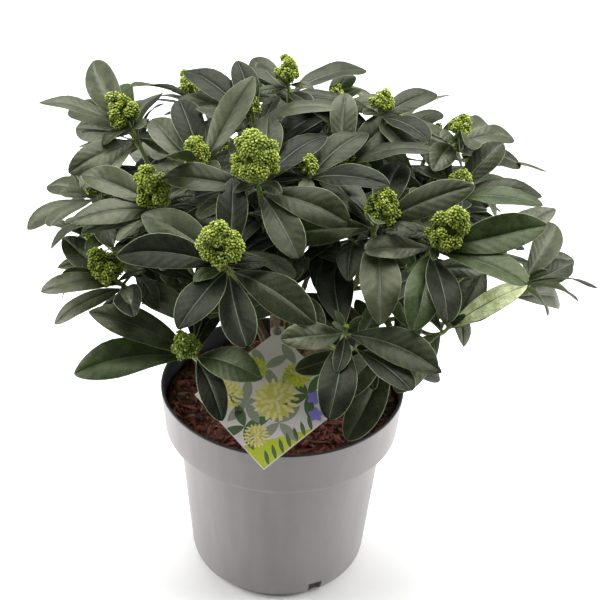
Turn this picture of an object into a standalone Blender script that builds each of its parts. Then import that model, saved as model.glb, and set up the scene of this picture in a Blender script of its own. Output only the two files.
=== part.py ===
"""A potted evergreen shrub: a short stem that forks into leafy boughs over a tapered nursery pot.

Metres, +Z up. The origin is the centre of the pot's flat underside, -Y is the front.
"""

import math
import random

import bmesh
import bpy
from mathutils import Matrix, Vector
from mathutils.bvhtree import BVHTree

CM = 0.01
CLEAR = 0.0003

# Pot
POT_SIDES = 32
RIM_RADIUS = 0.1075
RIM_TOP = 0.1854
COLLAR_BOTTOM = 0.1418
COLLAR_RADIUS = 0.1042
COLLAR_BEVEL = 0.004
BODY_TOP_RADIUS = 0.0922
BODY_FOOT_RADIUS = 0.0803
FOOT_CORNER = 0.0155
FOOT_RADIUS = 0.0695
WALL = 0.0026
CAVITY_RADIUS = 0.0755
FLOOR_UNDERSIDE = 0.016
FLOOR_TOP = 0.0195
BOSS_RADIUS = 0.020
NOTCH_BEARINGS = (-63, 57, 177)
NOTCH_WIDTH = 0.013
NOTCH_HEIGHT = 0.015

# Potting soil
SOIL_TOP = 0.170

# Stem foot
TRUNK_FOOT = Vector((0.0, 0.010, SOIL_TOP + CLEAR))
TRUNK_HEIGHT = 0.032
TRUNK_FOOT_RADIUS = 0.0122
TRUNK_TOP_RADIUS = 0.0104
TRUNK_FLARE = 0.0060
TRUNK_FLARE_SHARE = 0.45
TRUNK_LEAN = Vector((-0.0015, -0.001, 0.0))
TRUNK_SIDES = 15

# Boughs and twigs
BOUGH_RADIUS = 0.0028
BOUGH_TIP_RADIUS = 0.0022
BOUGH_SHARE = 0.62
BOUGH_SIDES = 5
BOUGH_STEPS = 5
TWIG_RADIUS = 0.0021
TWIG_TIP_RADIUS = 0.0017
TWIG_STEPS = 4
HUB_SHARE = 0.60
SIDE_RISE = 0.0195
SIDE_SPREAD = 0.006
SHOULDER_RISE = 0.075
HUB_SHIFTS = {"foliage_front_left": Vector((-0.011, 0.004, 0.0))}

# Leaves
LEAF_WIDTH_SHARE = 0.385
LEAF_THICKNESS = 0.0017
LEAF_SECTIONS = ((0.38, 0.97), (0.71, 0.87))
LEAF_SPACING = 0.0032
LEAF_MARGIN = 0.0006
LOWER_LEAVES = 2
LOWER_SPACING = (0.010, 0.022)
LOWER_RISE = (-25, 12)
GOLDEN_TURN = 137.5
LEAF_ARCH = 0.07
FRONT_LEAN = 0.24
LEAF_FOLD = math.radians(16)

# Flower heads and end buds, as levels along their height with a fullness each
HEAD_LEVELS = ((-0.6, 0.78), (0.05, 1.0), (0.66, 0.66))
BUD_LEVELS = ((-0.4, 1.0), (0.4, 0.7))
SMALL_HEAD = 0.006

# Crown
CROWN_CENTRE = Vector((0.015, 0.020, 0.240))
CROWN_REACH = Vector((0.235, 0.215, 0.208))
CROWN_POWER = 3.0

# Plant label
LABEL_SIDE = 0.091
LABEL_THICKNESS = 0.0009
LABEL_LOW_CORNER = Vector((-0.0115, -0.1210, 0.1812))
LABEL_SLOPE = math.radians(29)
LABEL_ROLL = math.radians(-4)
LABEL_BOUGH = "foliage_front"
LABEL_EYE_INNER = 0.0032
LABEL_EYE_OUTER = 0.0062
LABEL_EYE_SIDES = 12

# Every shoot: the place of its tip in centimetres, the width and height of its flower head
# there, then the leaves that stand out on it. A leaf is its bearing seen from above (0 right,
# 90 back, 180 left, 270 front), its rise above the level in degrees, its length in
# centimetres and, for a few, the twist of its blade in degrees. The last number of a shoot is
# how many more leaves fill the gaps between them.
FRONT_SHOOTS = {
    "foliage_left_top": (
        ((-14.5, 8, 40.3), (3.1, 3.1), ((122, 25, 9), (81, 14, 7.8), (181, 23, 8.6),
                                        (145, 16, 8), (231, 1, 7.5), (262, -8, 6.5),
                                        (221, 7, 7.5), (109, 15, 8.5), (198, -8, 5.2),
                                        (40, 8, 5.5)), 1),
        ((-16.4, 2, 36.1), (1.4, 1.6), ((150, 0, 6.8), (221, 2, 7.6), (243, 3, 7.5),
                                        (279, -2, 6)), 1),
    ),
    "foliage_left": (
        ((-10.8, -2, 38.3), (3.4, 3.9), ((158, 13, 8), (203, 7, 8.2), (203, 4, 7.5),
                                         (232, 6, 6), (268, -4, 6)), 1),
        ((-14.7, -4, 31.9), (3.3, 3.6), ((146, 19, 6.8), (214, 13, 7.5), (208, -6, 7.6),
                                         (279, 6, 6), (275, -2, 7), (319, 1, 6.5),
                                         (182, 8, 5.5)), 0),
    ),
    "foliage_front_left": (
        ((-7.6, -9, 27.9), (2.4, 2.6), ((175, 22, 9.2), (192, -2, 10.1), (73, 15, 6),
                                        (318, 13, 7.5), (289, -9, 7)), 0),
    ),
    "foliage_front": (
        ((-5.1, -9, 37.1), (3.6, 4.4), ((153, 19, 8.5), (183, 10, 8.9), (245, -1, 8.4),
                                        (280, -13, 7.8), (319, -2, 8.6), (90, 40, 7.5),
                                        (60, 3, 6.8)), 0),
        ((0.5, -6, 32.5), (0.9, 0.9), ((17, -29, 7.8), (298, 3, 6)), 3),
    ),
    "foliage_centre": (
        ((-2.7, -3, 41.7), (4.2, 4.8), ((183, 10, 8), (210, 12, 7.5), (40, 25, 7.5),
                                        (87, 29, 7.5), (103, 19, 7.5), (325, 9, 8.5),
                                        (293, 2, 8.2)), 0),
        ((-7.6, 1, 40.1), (2.4, 2.6), ((115, 28, 8), (134, 24, 8.5), (240, 31, 7.5),
                                       (53, 36, 9)), 2),
        ((1.6, -1, 40.2), (1.6, 1.8), (), 3),
    ),
    "foliage_top_back": (
        ((-0.5, 9, 44.2), (2.2, 2.4), ((124, 15, 6.2), (234, 39, 5.6), (45, 6, 9.4),
                                       (300, 15, 4.5)), 2),
        ((-3.4, 5, 42.6), (1.8, 1.8), ((110, 34, 6.2), (155, 15, 7.8), (220, 29, 6.5),
                                       (141, 21, 8.8), (127, 13, 6)), 2),
        ((3.7, 10, 41.7), (1.8, 1.8), ((75, 13, 6.5), (20, 6, 7)), 3),
    ),
    "foliage_right_back": (
        ((7.7, 9, 41.8), (2.2, 2), ((36, 6, 7), (306, 10, 7), (293, 9, 7), (66, 0, 6)), 1),
        ((4.6, 3, 39.4), (1.6, 1.6), ((49, 25, 8), (90, 44, 7), (270, -5, 6.5), (190, 5, 7)), 3),
    ),
    "foliage_right_top": (
        ((14.5, 9, 39.6), (2.1, 2.2), ((27, 1, 7.2), (41, 0, 7.2), (52, 6, 7),
                                       (279, 15, 6), (255, 11, 6.5), (12, -3, 7.5),
                                       (140, 12, 5)), 0),
        ((14.2, 2, 37.9), (2, 2), ((336, 13, 8.4), (4, 10, 8.4), (43, 3, 7.2), (44, 27, 7),
                                   (110, 19, 8.2), (277, 18, 5.5)), 1),
    ),
    "foliage_front_right": (
        ((7.4, -5, 38.9), (3, 3.2), ((122, 18, 8), (72, 21, 8.5), (268, 33, 5),
                                     (275, -12, 8.8)), 3),
        ((12.5, -6, 37.7), (3.4, 4), ((265, -8, 8.3), (322, 7, 9.3), (358, 19, 9.2),
                                      (205, 12, 6), (283, -7, 7.8)), 1),
    ),
    "foliage_right_low": (
        ((13.8, -3.2, 27), (0.8, 0.8), ((241, -10, 7.8), (101, -15, 5), (125, 0, 6.5),
                                        (352, 31, 8.4, 48)), 0),
        ((19.8, -3, 31.8), (0.9, 0.9), ((60, 21, 7.4), (32, 14, 6.4), (330, 21, 7.1, 36),
                                        (328, 13, 6, 45), (304, 8, 5, 40), (180, -20, 4)), 0),
        ((17.5, 1, 33), (1, 1), ((40, 15, 6.8), (289, 28, 5.5)), 1),
    ),
    "foliage_front_low": (
        ((4.9, -11, 31.4), (0.9, 0.9), ((325, 5, 8.6), (265, 2, 4.6), (218, 17, 6.2),
                                        (264, -8, 8.4), (95, 16, 8)), 0),
        ((9, -7.5, 28.5), (0.9, 0.9), ((250, -26, 8.6), (235, -20, 7)), 2),
    ),
}

# The shoots of the back, which stand in arcs round the stem. An arc is its mass, its radius
# and height in centimetres, the bearings of its two ends, and how many shoots stand on it.
BACK_ARCS = (
    ("foliage_back_left", 16.5, 39.5, 106, 129, 2),
    ("foliage_back_left", 18.0, 30.5, 135, 172, 3),
    ("foliage_back", 15.5, 38.0, 60, 86, 2),
    ("foliage_back", 18.0, 32.0, 80, 113, 3),
    ("foliage_back_right", 18.5, 35.5, 34, 50, 2),
    ("foliage_back_right", 18.0, 29.5, 12, 60, 3),
)
ARC_CENTRE = Vector((1.0, 2.0, 0.0))
BACK_HEAD = (2.2, 2.4)
BACK_LEAVES = 7

# What a leaf tries when its place is taken: turns and lifts in degrees, and a shorter length
CHOICES = tuple(
    (turn, lift, size)
    for size in (1.0, 0.88, 0.76)
    for turn, lift in ((0, 0), (0, 5), (0, -5), (6, 0), (-6, 0), (0, 10), (0, -10), (7, 7),
                       (-7, 7), (7, -7), (-7, -7), (13, 0), (-13, 0), (0, 18), (0, -18),
                       (14, 12), (-14, 12), (14, -12), (-14, -12), (22, 8), (-22, 8))
)

COLOURS = {
    "pot": (0.42, 0.41, 0.42),
    "soil": (0.075, 0.035, 0.024),
    "wood": (0.16, 0.11, 0.075),
    "label": (0.46, 0.45, 0.50),
    "foliage": (0.055, 0.095, 0.050),
}
ROUGHNESS = {"pot": 0.5, "soil": 0.95, "wood": 0.8, "label": 0.3, "foliage": 0.42}


def clear_scene():
    for old in list(bpy.data.objects):
        bpy.data.objects.remove(old)


def material(name):
    found = bpy.data.materials.get(name)
    if found:
        return found
    made = bpy.data.materials.new(name)
    made.use_nodes = True
    surface = made.node_tree.nodes["Principled BSDF"]
    surface.inputs["Base Color"].default_value = (*COLOURS[name], 1.0)
    surface.inputs["Roughness"].default_value = ROUGHNESS[name]
    return made


def direction(bearing, rise):
    """The unit vector of a bearing round +Z and a rise above the level, in radians."""
    level = math.cos(rise)
    return Vector((level * math.cos(bearing), level * math.sin(bearing), math.sin(rise)))


def ring_of(centre, across, up, radius, sides, phase=0.0):
    """Points round a centre, in the plane of two unit vectors."""
    step = 2 * math.pi / sides
    return [
        centre + radius * (math.cos(phase + i * step) * across + math.sin(phase + i * step) * up)
        for i in range(sides)
    ]


def skin(rings):
    """Points and faces of one closed surface through rings; a ring of one point is a tip."""
    points = []
    starts = []
    for ring in rings:
        starts.append(len(points))
        points.extend(ring)
    faces = []
    for a, b, low, high in zip(rings, rings[1:], starts, starts[1:]):
        count = max(len(a), len(b))
        for i in range(count):
            j = (i + 1) % count
            if len(a) == 1:
                faces.append((low, high + j, high + i))
            elif len(b) == 1:
                faces.append((low + i, low + j, high))
            else:
                faces.append((low + i, low + j, high + j, high + i))
    if len(rings[0]) > 1:
        faces.append(tuple(reversed(range(len(rings[0])))))
    if len(rings[-1]) > 1:
        faces.append(tuple(starts[-1] + i for i in range(len(rings[-1]))))
    return points, faces


def object_from(name, points, faces, look, smooth=False):
    mesh = bpy.data.meshes.new(name)
    mesh.from_pydata(points, [], faces)
    shape = bmesh.new()
    shape.from_mesh(mesh)
    if shape.calc_volume(signed=True) < 0:
        bmesh.ops.reverse_faces(shape, faces=shape.faces)
    shape.to_mesh(mesh)
    shape.free()
    if smooth:
        mesh.shade_smooth()
        mesh.set_sharp_from_angle(angle=math.radians(35))
    mesh.materials.append(material(look))
    made = bpy.data.objects.new(name, mesh)
    bpy.context.scene.collection.objects.link(made)
    return made


def turned(name, profile, sides, look):
    """A solid of revolution round +Z. The profile starts and ends on the axis."""
    rings = []
    for radius, height in profile:
        if radius == 0:
            rings.append([Vector((0, 0, height))])
        else:
            rings.append(
                ring_of(Vector((0, 0, height)), Vector((1, 0, 0)), Vector((0, 1, 0)), radius, sides)
            )
    points, faces = skin(rings)
    return object_from(name, points, faces, look, smooth=True)


def body_radius(height):
    """Outer radius of the pot's body between its foot corner and its collar."""
    share = (height - FOOT_CORNER) / (COLLAR_BOTTOM - FOOT_CORNER)
    return BODY_FOOT_RADIUS + share * (BODY_TOP_RADIUS - BODY_FOOT_RADIUS)


def foot_corner():
    """The rounded outer corner between the pot's foot and its body."""
    spread = BODY_FOOT_RADIUS - FOOT_RADIUS
    steps = [math.radians(a) for a in (0, 30, 60, 90)]
    return [
        (FOOT_RADIUS + spread * math.sin(a), FOOT_CORNER * (1 - math.cos(a))) for a in steps
    ]


def make_pot():
    inside_top = COLLAR_BOTTOM - WALL
    profile = [(0, 0), (BOSS_RADIUS, 0), (BOSS_RADIUS, FLOOR_UNDERSIDE)]
    profile += [(CAVITY_RADIUS, FLOOR_UNDERSIDE), (CAVITY_RADIUS - 0.0015, FLOOR_UNDERSIDE / 2)]
    profile += [(FOOT_RADIUS - 0.004, 0)]
    profile += foot_corner()
    profile += [
        (BODY_TOP_RADIUS, COLLAR_BOTTOM),
        (COLLAR_RADIUS - COLLAR_BEVEL, COLLAR_BOTTOM),
        (COLLAR_RADIUS, COLLAR_BOTTOM + COLLAR_BEVEL),
        (RIM_RADIUS, RIM_TOP - 0.001),
        (RIM_RADIUS - 0.001, RIM_TOP),
        (RIM_RADIUS - WALL, RIM_TOP),
        (COLLAR_RADIUS - WALL, COLLAR_BOTTOM + COLLAR_BEVEL),
        (BODY_TOP_RADIUS - WALL, inside_top),
        (body_radius(FLOOR_TOP) - WALL, FLOOR_TOP + 0.007),
        (BODY_FOOT_RADIUS - 0.006, FLOOR_TOP),
        (0, FLOOR_TOP),
    ]
    pot = turned("pot", profile, POT_SIDES, "pot")
    cut_notches(pot)
    return pot


def cut_notches(pot):
    """Drain notches through the foot ring."""
    for number, bearing in enumerate(NOTCH_BEARINGS):
        out = direction(math.radians(bearing), 0)
        across = Vector((-out.y, out.x, 0))
        middle = out * FOOT_RADIUS
        low = [
            middle + out * along + across * side + Vector((0, 0, -0.002))
            for along, side in (
                (-0.012, -NOTCH_WIDTH / 2),
                (0.012, -NOTCH_WIDTH / 2),
                (0.012, NOTCH_WIDTH / 2),
                (-0.012, NOTCH_WIDTH / 2),
            )
        ]
        high = [point + Vector((0, 0, NOTCH_HEIGHT + 0.002)) for point in low]
        cutter = object_from(f"notch_cutter_{number}", *skin([low, high]), "pot")
        cutter.hide_render = True
        cutter.display_type = "WIRE"
        cut = pot.modifiers.new(f"notch_{number}", "BOOLEAN")
        cut.operation = "DIFFERENCE"
        cut.object = cutter


def make_soil():
    gap = 2 * CLEAR
    profile = [
        (0, FLOOR_TOP + CLEAR),
        (BODY_FOOT_RADIUS - 0.0085, FLOOR_TOP + CLEAR),
        (body_radius(FLOOR_TOP) - WALL - gap - 0.001, FLOOR_TOP + 0.008),
        (BODY_TOP_RADIUS - WALL - gap, COLLAR_BOTTOM - WALL),
        (COLLAR_RADIUS - WALL - gap - 0.0005, COLLAR_BOTTOM + COLLAR_BEVEL + 0.0005),
        (COLLAR_RADIUS - WALL - gap + 0.0012, SOIL_TOP - 0.001),
        (COLLAR_RADIUS - WALL - 0.012, SOIL_TOP),
        (0, SOIL_TOP),
    ]
    return turned("soil", profile, POT_SIDES, "soil")


def trunk_radius(share):
    """Radius of the stem foot without its root flare, at a share of its height."""
    return TRUNK_FOOT_RADIUS + share * (TRUNK_TOP_RADIUS - TRUNK_FOOT_RADIUS)


def trunk_ring(share):
    """One ring of the stem foot, flared into five low root lobes at the bottom."""
    centre = TRUNK_FOOT + TRUNK_LEAN * share + Vector((0, 0, TRUNK_HEIGHT * share))
    flare = TRUNK_FLARE * max(0, 1 - share / TRUNK_FLARE_SHARE) ** 2
    points = []
    for i in range(TRUNK_SIDES):
        turn = 2 * math.pi * i / TRUNK_SIDES
        radius = trunk_radius(share) + flare * (0.75 + 0.35 * math.cos(5 * turn + 0.8))
        points.append(centre + radius * Vector((math.cos(turn), math.sin(turn), 0)))
    return points


def make_trunk():
    rings = [trunk_ring(share * TRUNK_FLARE_SHARE) for share in (0, 0.25, 0.55, 1.0)]
    rings.append(trunk_ring(1.0))
    return object_from("trunk", *skin(rings), "wood", smooth=True)


class Path:
    """A quadratic curve through space, from a start, past a shoulder, to an end."""

    def __init__(self, start, shoulder, end):
        self.start = start
        self.shoulder = shoulder
        self.end = end

    def at(self, t):
        return (
            (1 - t) ** 2 * self.start + 2 * t * (1 - t) * self.shoulder + t * t * self.end
        )


def cross_axes(ahead):
    """Two unit vectors square to a heading."""
    side = ahead.cross(Vector((0.31, 0.17, 0.93))).normalized()
    return side, side.cross(ahead)


def line_along(path, first, last, steps):
    """Points along part of a path, as the centre line of a limb."""
    return [path.at(first + (last - first) * i / steps) for i in range(steps + 1)]


def back_along(line, distance):
    """The point at a distance back from the end of a centre line."""
    for end, before in zip(line[::-1], line[-2::-1]):
        span = (end - before).length
        if distance <= span:
            return end.lerp(before, distance / span)
        distance -= span
    return line[0]


def tube(line, thick, thin, sides, cap=None):
    """A tapering limb along a centre line. Its first ring can be slid onto a cap plane."""
    rings = []
    last = len(line) - 1
    for i, centre in enumerate(line):
        ahead = (line[min(i + 1, last)] - line[max(i - 1, 0)]).normalized()
        across, up = cross_axes(ahead)
        ring = ring_of(centre, across, up, thick + (thin - thick) * i / last, sides)
        if i == 0 and cap:
            plane, normal = cap
            ring = [p + ahead * ((plane - p).dot(normal) / ahead.dot(normal)) for p in ring]
        rings.append(ring)
    return skin(rings)


def trunk_top():
    return TRUNK_FOOT + TRUNK_LEAN + Vector((0, 0, TRUNK_HEIGHT))


def shoot_axis(place):
    """The way a shoot points: up, and leaning out with its distance from the middle."""
    out = Vector((place.x - CROWN_CENTRE.x, place.y - CROWN_CENTRE.y, 0))
    return (Vector((0, 0, 1)) + out * 3.2).normalized()


class Shoot:
    """A leafy end: its flower head, the point below where its twig ends, and its blades' facing."""

    def __init__(self, place, head, leaves, more, seed):
        self.place = Vector(place) * CM
        self.head = (head[0] * CM / 2, head[1] * CM / 2)
        self.leaves = leaves
        self.more = more
        self.seed = seed
        self.axis = shoot_axis(self.place)
        lean = min(self.axis.y, 0) - FRONT_LEAN if leaves else self.axis.y
        self.facing = Vector((self.axis.x, lean, self.axis.z)).normalized()
        self.whorl = self.place - self.axis * (self.head[1] + 0.002)


class Mass:
    """A mass of foliage: its shoots, its hub, and the path of its bough and stem."""

    def __init__(self, name, shoots):
        self.name = name
        self.shoots = shoots
        middle = sum((shoot.whorl for shoot in shoots), Vector()) / len(shoots)
        self.hub = trunk_top().lerp(middle, HUB_SHARE) + HUB_SHIFTS.get(name, Vector())


def all_masses():
    masses = []
    seed = 0
    for name, rows in FRONT_SHOOTS.items():
        shoots = []
        for place, head, leaves, more in rows:
            seed += 1
            shoots.append(Shoot(place, head, leaves, more, seed))
        masses.append(Mass(name, shoots))
    back = {}
    for name, radius, height, first, last, count in BACK_ARCS:
        for i in range(count):
            seed += 1
            rng = random.Random(seed)
            bearing = math.radians(first + (last - first) * i / (count - 1))
            place = ARC_CENTRE + radius * direction(bearing, 0)
            place.z = height + rng.uniform(-1.2, 1.2)
            shoot = Shoot(place, BACK_HEAD, (), BACK_LEAVES, seed)
            back.setdefault(name, []).append(shoot)
    masses += [Mass(name, shoots) for name, shoots in back.items()]
    return masses


def bough_starts(masses):
    """Sets each bough's start: low masses on the stem's side, high ones on its top."""
    top = trunk_top()

    def bearing_of(mass):
        return math.atan2(mass.hub.y - top.y, mass.hub.x - top.x)

    order = sorted(masses, key=lambda mass: mass.hub.z)
    side_count = (len(order) + 1) // 2
    for group, on_top in ((order[:side_count], False), (order[side_count:], True)):
        group = sorted(group, key=bearing_of)
        step = 2 * math.pi / len(group)
        offsets = [bearing_of(mass) - i * step for i, mass in enumerate(group)]
        turn = sum(offsets) / len(offsets)
        for i, mass in enumerate(group):
            out = direction(turn + i * step, 0)
            if on_top:
                start = top + out * (TRUNK_TOP_RADIUS - BOUGH_RADIUS) + Vector((0, 0, CLEAR))
                mass.cap = (start, Vector((0, 0, 1)))
            else:
                share = SIDE_RISE / TRUNK_HEIGHT
                foot = TRUNK_FOOT + Vector((0, 0, SIDE_RISE)) + TRUNK_LEAN * share
                start = foot + out * (trunk_radius(TRUNK_FLARE_SHARE) + CLEAR)
                mass.cap = (start, out)
            outward = 0.30 if on_top else 0.42
            level = Vector((mass.hub.x - start.x, mass.hub.y - start.y, 0))
            shoulder = start + level * outward
            if not on_top:
                shoulder += out * SIDE_SPREAD
            shoulder.z += min(SHOULDER_RISE, (mass.hub.z - start.z) * 0.8)
            mass.path = Path(start, shoulder, mass.hub)


def twig_line(mass, shoot):
    """The centre line of a shoot's twig, which bends from the hub into the shoot's own way."""
    span = (shoot.whorl - mass.hub).length
    bend = Path(mass.hub, shoot.whorl - shoot.axis * span * 0.45, shoot.place)
    return line_along(bend, 0.0, 1.0, TWIG_STEPS)


def flower_head(shoot):
    """A lumpy rounded head round the shoot's tip."""
    rng = random.Random(shoot.seed * 7 + 3)
    across, up = cross_axes(shoot.axis)
    width, height = shoot.head
    rings = [[shoot.place - shoot.axis * height]]
    levels = HEAD_LEVELS if width > SMALL_HEAD else BUD_LEVELS
    for level, size in levels:
        centre = shoot.place + shoot.axis * height * level
        ring = ring_of(centre, across, up, width * size, 2 + len(levels), phase=level)
        rings.append([centre + (p - centre) * rng.uniform(0.86, 1.06) for p in ring])
    rings.append([shoot.place + shoot.axis * height])
    return skin(rings)


def leaf_solid(root, facing, bearing, rise, length, twist, spare=0.0):
    """A pointed leaf as a thin solid, whose blade is turned to face a given way.

    It is folded up along its midrib and arched along its length.
    """
    ahead = direction(bearing, rise)
    side = ahead.cross(facing).normalized()
    lift = side.cross(ahead)
    side = side * math.cos(twist) + lift * math.sin(twist)
    lift = side.cross(ahead)
    arch = LEAF_ARCH * length
    rings = [[root]]
    for share, fullness in LEAF_SECTIONS:
        middle = root + ahead * length * share + lift * arch * 4 * share * (1 - share)
        half = length * LEAF_WIDTH_SHARE * fullness / 2 + spare
        edge = lift * half * math.sin(LEAF_FOLD)
        reach = side * half * math.cos(LEAF_FOLD)
        thick = lift * (LEAF_THICKNESS / 2 + spare)
        rings.append([middle + reach + edge, middle + thick, middle - reach + edge, middle - thick])
    rings.append([root + ahead * length])
    return skin(rings)


def box_of(points):
    low = Vector(min(p[i] for p in points) for i in range(3))
    high = Vector(max(p[i] for p in points) for i in range(3))
    return low, high


def apart(box, other):
    return any(box[0][i] > other[1][i] or box[1][i] < other[0][i] for i in range(3))


class Taken:
    """The space that is already taken, as pieces that each belong to a mass or to none."""

    def __init__(self):
        self.pieces = []

    def add(self, owner, points, faces, soft=False):
        """Adds a piece. A leaf may lean on the soft pieces of its own mass."""
        tree = BVHTree.FromPolygons(points, faces)
        self.pieces.append((owner, soft, box_of(points), tree))

    def free(self, owner, whole, blade):
        """Whether a leaf clears every other piece, and its blade those of its own mass too."""
        whole_tree = BVHTree.FromPolygons(*whole)
        blade_tree = BVHTree.FromPolygons(*blade)
        box = box_of(whole[0])
        for other, soft, other_box, tree in self.pieces:
            if soft and other == owner or apart(box, other_box):
                continue
            if (blade_tree if other == owner else whole_tree).overlap(tree):
                return False
        return True


def in_crown(point):
    """Whether a point lies in the flat-topped dome that the crown keeps to."""
    away = point - CROWN_CENTRE
    total = sum(abs(away[i] / CROWN_REACH[i]) ** CROWN_POWER for i in range(3))
    return total <= 1


def leaf_plan(shoot):
    """The leaves of a shoot, highest first: (bearing, rise, length, twist, from the table)."""
    rng = random.Random(shoot.seed * 31 + 5)
    plan = []
    for bearing, rise, size, *twist in shoot.leaves:
        plan.append((bearing, rise, size, twist[0] if twist else rng.uniform(-8, 8), True))
    bearings = [row[0] for row in plan] or [rng.uniform(0, 360)]
    for i in range(shoot.more):
        ordered = sorted(bearings)
        gaps = [(b - a, a) for a, b in zip(ordered, ordered[1:] + [ordered[0] + 360])]
        widest, begin = max(gaps)
        bearing = (begin + widest / 2 + rng.uniform(-9, 9)) % 360
        bearings.append(bearing)
        rise = 30 - 42 * (i + 0.5) / shoot.more + rng.uniform(-7, 7)
        plan.append((bearing, rise, rng.uniform(6.6, 8.8), rng.uniform(-16, 16), False))
    plan.sort(key=lambda row: -row[1])
    return plan


def leaf_rows(mass):
    """The leaves of a mass, each with its root on its twig's centre line and its facing."""
    rows = []
    for shoot in mass.shoots:
        depth = (shoot.place - shoot.whorl).length
        for row in leaf_plan(shoot):
            depth += LEAF_SPACING
            rows.append((back_along(shoot.line, depth), shoot.facing, row))
        rng = random.Random(shoot.seed * 17 + 11)
        bearing = rng.uniform(0, 360)
        for _ in range(min(LOWER_LEAVES, shoot.more)):
            depth += rng.uniform(*LOWER_SPACING)
            bearing += GOLDEN_TURN
            size = rng.uniform(6.8, 9.0)
            row = (bearing % 360, rng.uniform(*LOWER_RISE), size, rng.uniform(-16, 16), False)
            rows.append((back_along(shoot.line, depth), shoot.facing, row))
    return rows


def place_leaf(taken, mass, root, facing, row):
    """The first choice of turn, lift and size that fits, as points and faces, or None."""
    bearing, rise, length, twist, listed = row
    for turn, lift, size in CHOICES:
        shape = (
            math.radians(bearing + turn),
            math.radians(max(-80, min(85, rise + lift))),
            length * size * CM,
            math.radians(twist),
        )
        points, faces = leaf_solid(root, facing, *shape)
        if not listed and not in_crown(points[-1]):
            continue
        test_points, test_faces = leaf_solid(root, facing, *shape, spare=LEAF_MARGIN)
        blade_faces = [face for face in test_faces if 0 not in face]
        if taken.free(mass.name, (test_points, test_faces), (test_points, blade_faces)):
            return points, faces
    return None


def grow(masses, taken):
    """Adds to each mass the solids of its twigs, heads and leaves."""
    for mass in masses:
        stem_line = line_along(mass.path, BOUGH_SHARE + 0.006, 1.0, 3)
        mass.stem = tube(stem_line, BOUGH_TIP_RADIUS * 0.95, TWIG_RADIUS, 3)
        mass.solids = []
        taken.add(mass.name, *mass.stem)
        for shoot in mass.shoots:
            shoot.line = twig_line(mass, shoot)
            twig = tube(shoot.line, TWIG_RADIUS, TWIG_TIP_RADIUS, 3)
            head = flower_head(shoot)
            mass.solids += [twig, head]
            taken.add(mass.name, *twig)
            taken.add(mass.name, *head, soft=True)
    rows = [(mass, *found) for mass in masses for found in leaf_rows(mass)]
    rows.sort(key=lambda item: (not item[3][4], -item[3][2] if item[3][4] else 0))
    for mass, root, facing, row in rows:
        solid = place_leaf(taken, mass, root, facing, row)
        if solid:
            mass.solids.append(solid)
            taken.add(mass.name, *solid)


def largest_shell(mesh):
    """Keeps the one outer surface, so that sealed hollows are filled and scraps dropped."""
    shape = bmesh.new()
    shape.from_mesh(mesh)
    bmesh.ops.triangulate(shape, faces=shape.faces)
    unseen = set(shape.faces)
    shells = []
    while unseen:
        stack = [unseen.pop()]
        shell = []
        while stack:
            face = stack.pop()
            shell.append(face)
            for edge in face.edges:
                beside = edge.link_faces if len(edge.link_faces) == 2 else ()
                for other in beside:
                    if other in unseen:
                        unseen.remove(other)
                        stack.append(other)
        shells.append(shell)
    shells.sort(key=len, reverse=True)
    doomed = [face for shell in shells[1:] for face in shell]
    bmesh.ops.delete(shape, geom=doomed, context="FACES")
    shape.to_mesh(mesh)
    shape.free()


def fuse(mass):
    """Joins a mass's solids to its stem by one Boolean union, which is applied."""
    parts = bpy.data.collections.new(f"{mass.name}_parts")
    bpy.context.scene.collection.children.link(parts)
    for number, (points, faces) in enumerate(mass.solids):
        piece = object_from(f"{mass.name}_{number}", points, faces, "foliage")
        bpy.context.scene.collection.objects.unlink(piece)
        parts.objects.link(piece)
    whole = object_from(mass.name, *mass.stem, "foliage")
    union = whole.modifiers.new("union", "BOOLEAN")
    union.operation = "UNION"
    union.operand_type = "COLLECTION"
    union.collection = parts
    union.solver = "MANIFOLD"
    graph = bpy.context.evaluated_depsgraph_get()
    joined = bpy.data.meshes.new_from_object(whole.evaluated_get(graph))
    whole.modifiers.remove(union)
    whole.data = joined
    largest_shell(joined)
    for piece in list(parts.objects):
        bpy.data.objects.remove(piece)
    bpy.data.collections.remove(parts)


def label_frame(path):
    """The label's lowest corner, its slope up to where a bough's path meets it, and its normal."""
    up_slope = Vector((0, math.cos(LABEL_SLOPE), math.sin(LABEL_SLOPE)))
    normal = Matrix.Rotation(LABEL_ROLL, 3, up_slope) @ Vector((1, 0, 0)).cross(up_slope)
    low, high = 0.0, 0.8
    for _ in range(30):
        middle = (low + high) / 2
        if (path.at(middle) - LABEL_LOW_CORNER).dot(normal) < 0:
            low = middle
        else:
            high = middle
    return LABEL_LOW_CORNER, path.at(low) - LABEL_LOW_CORNER, normal


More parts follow.
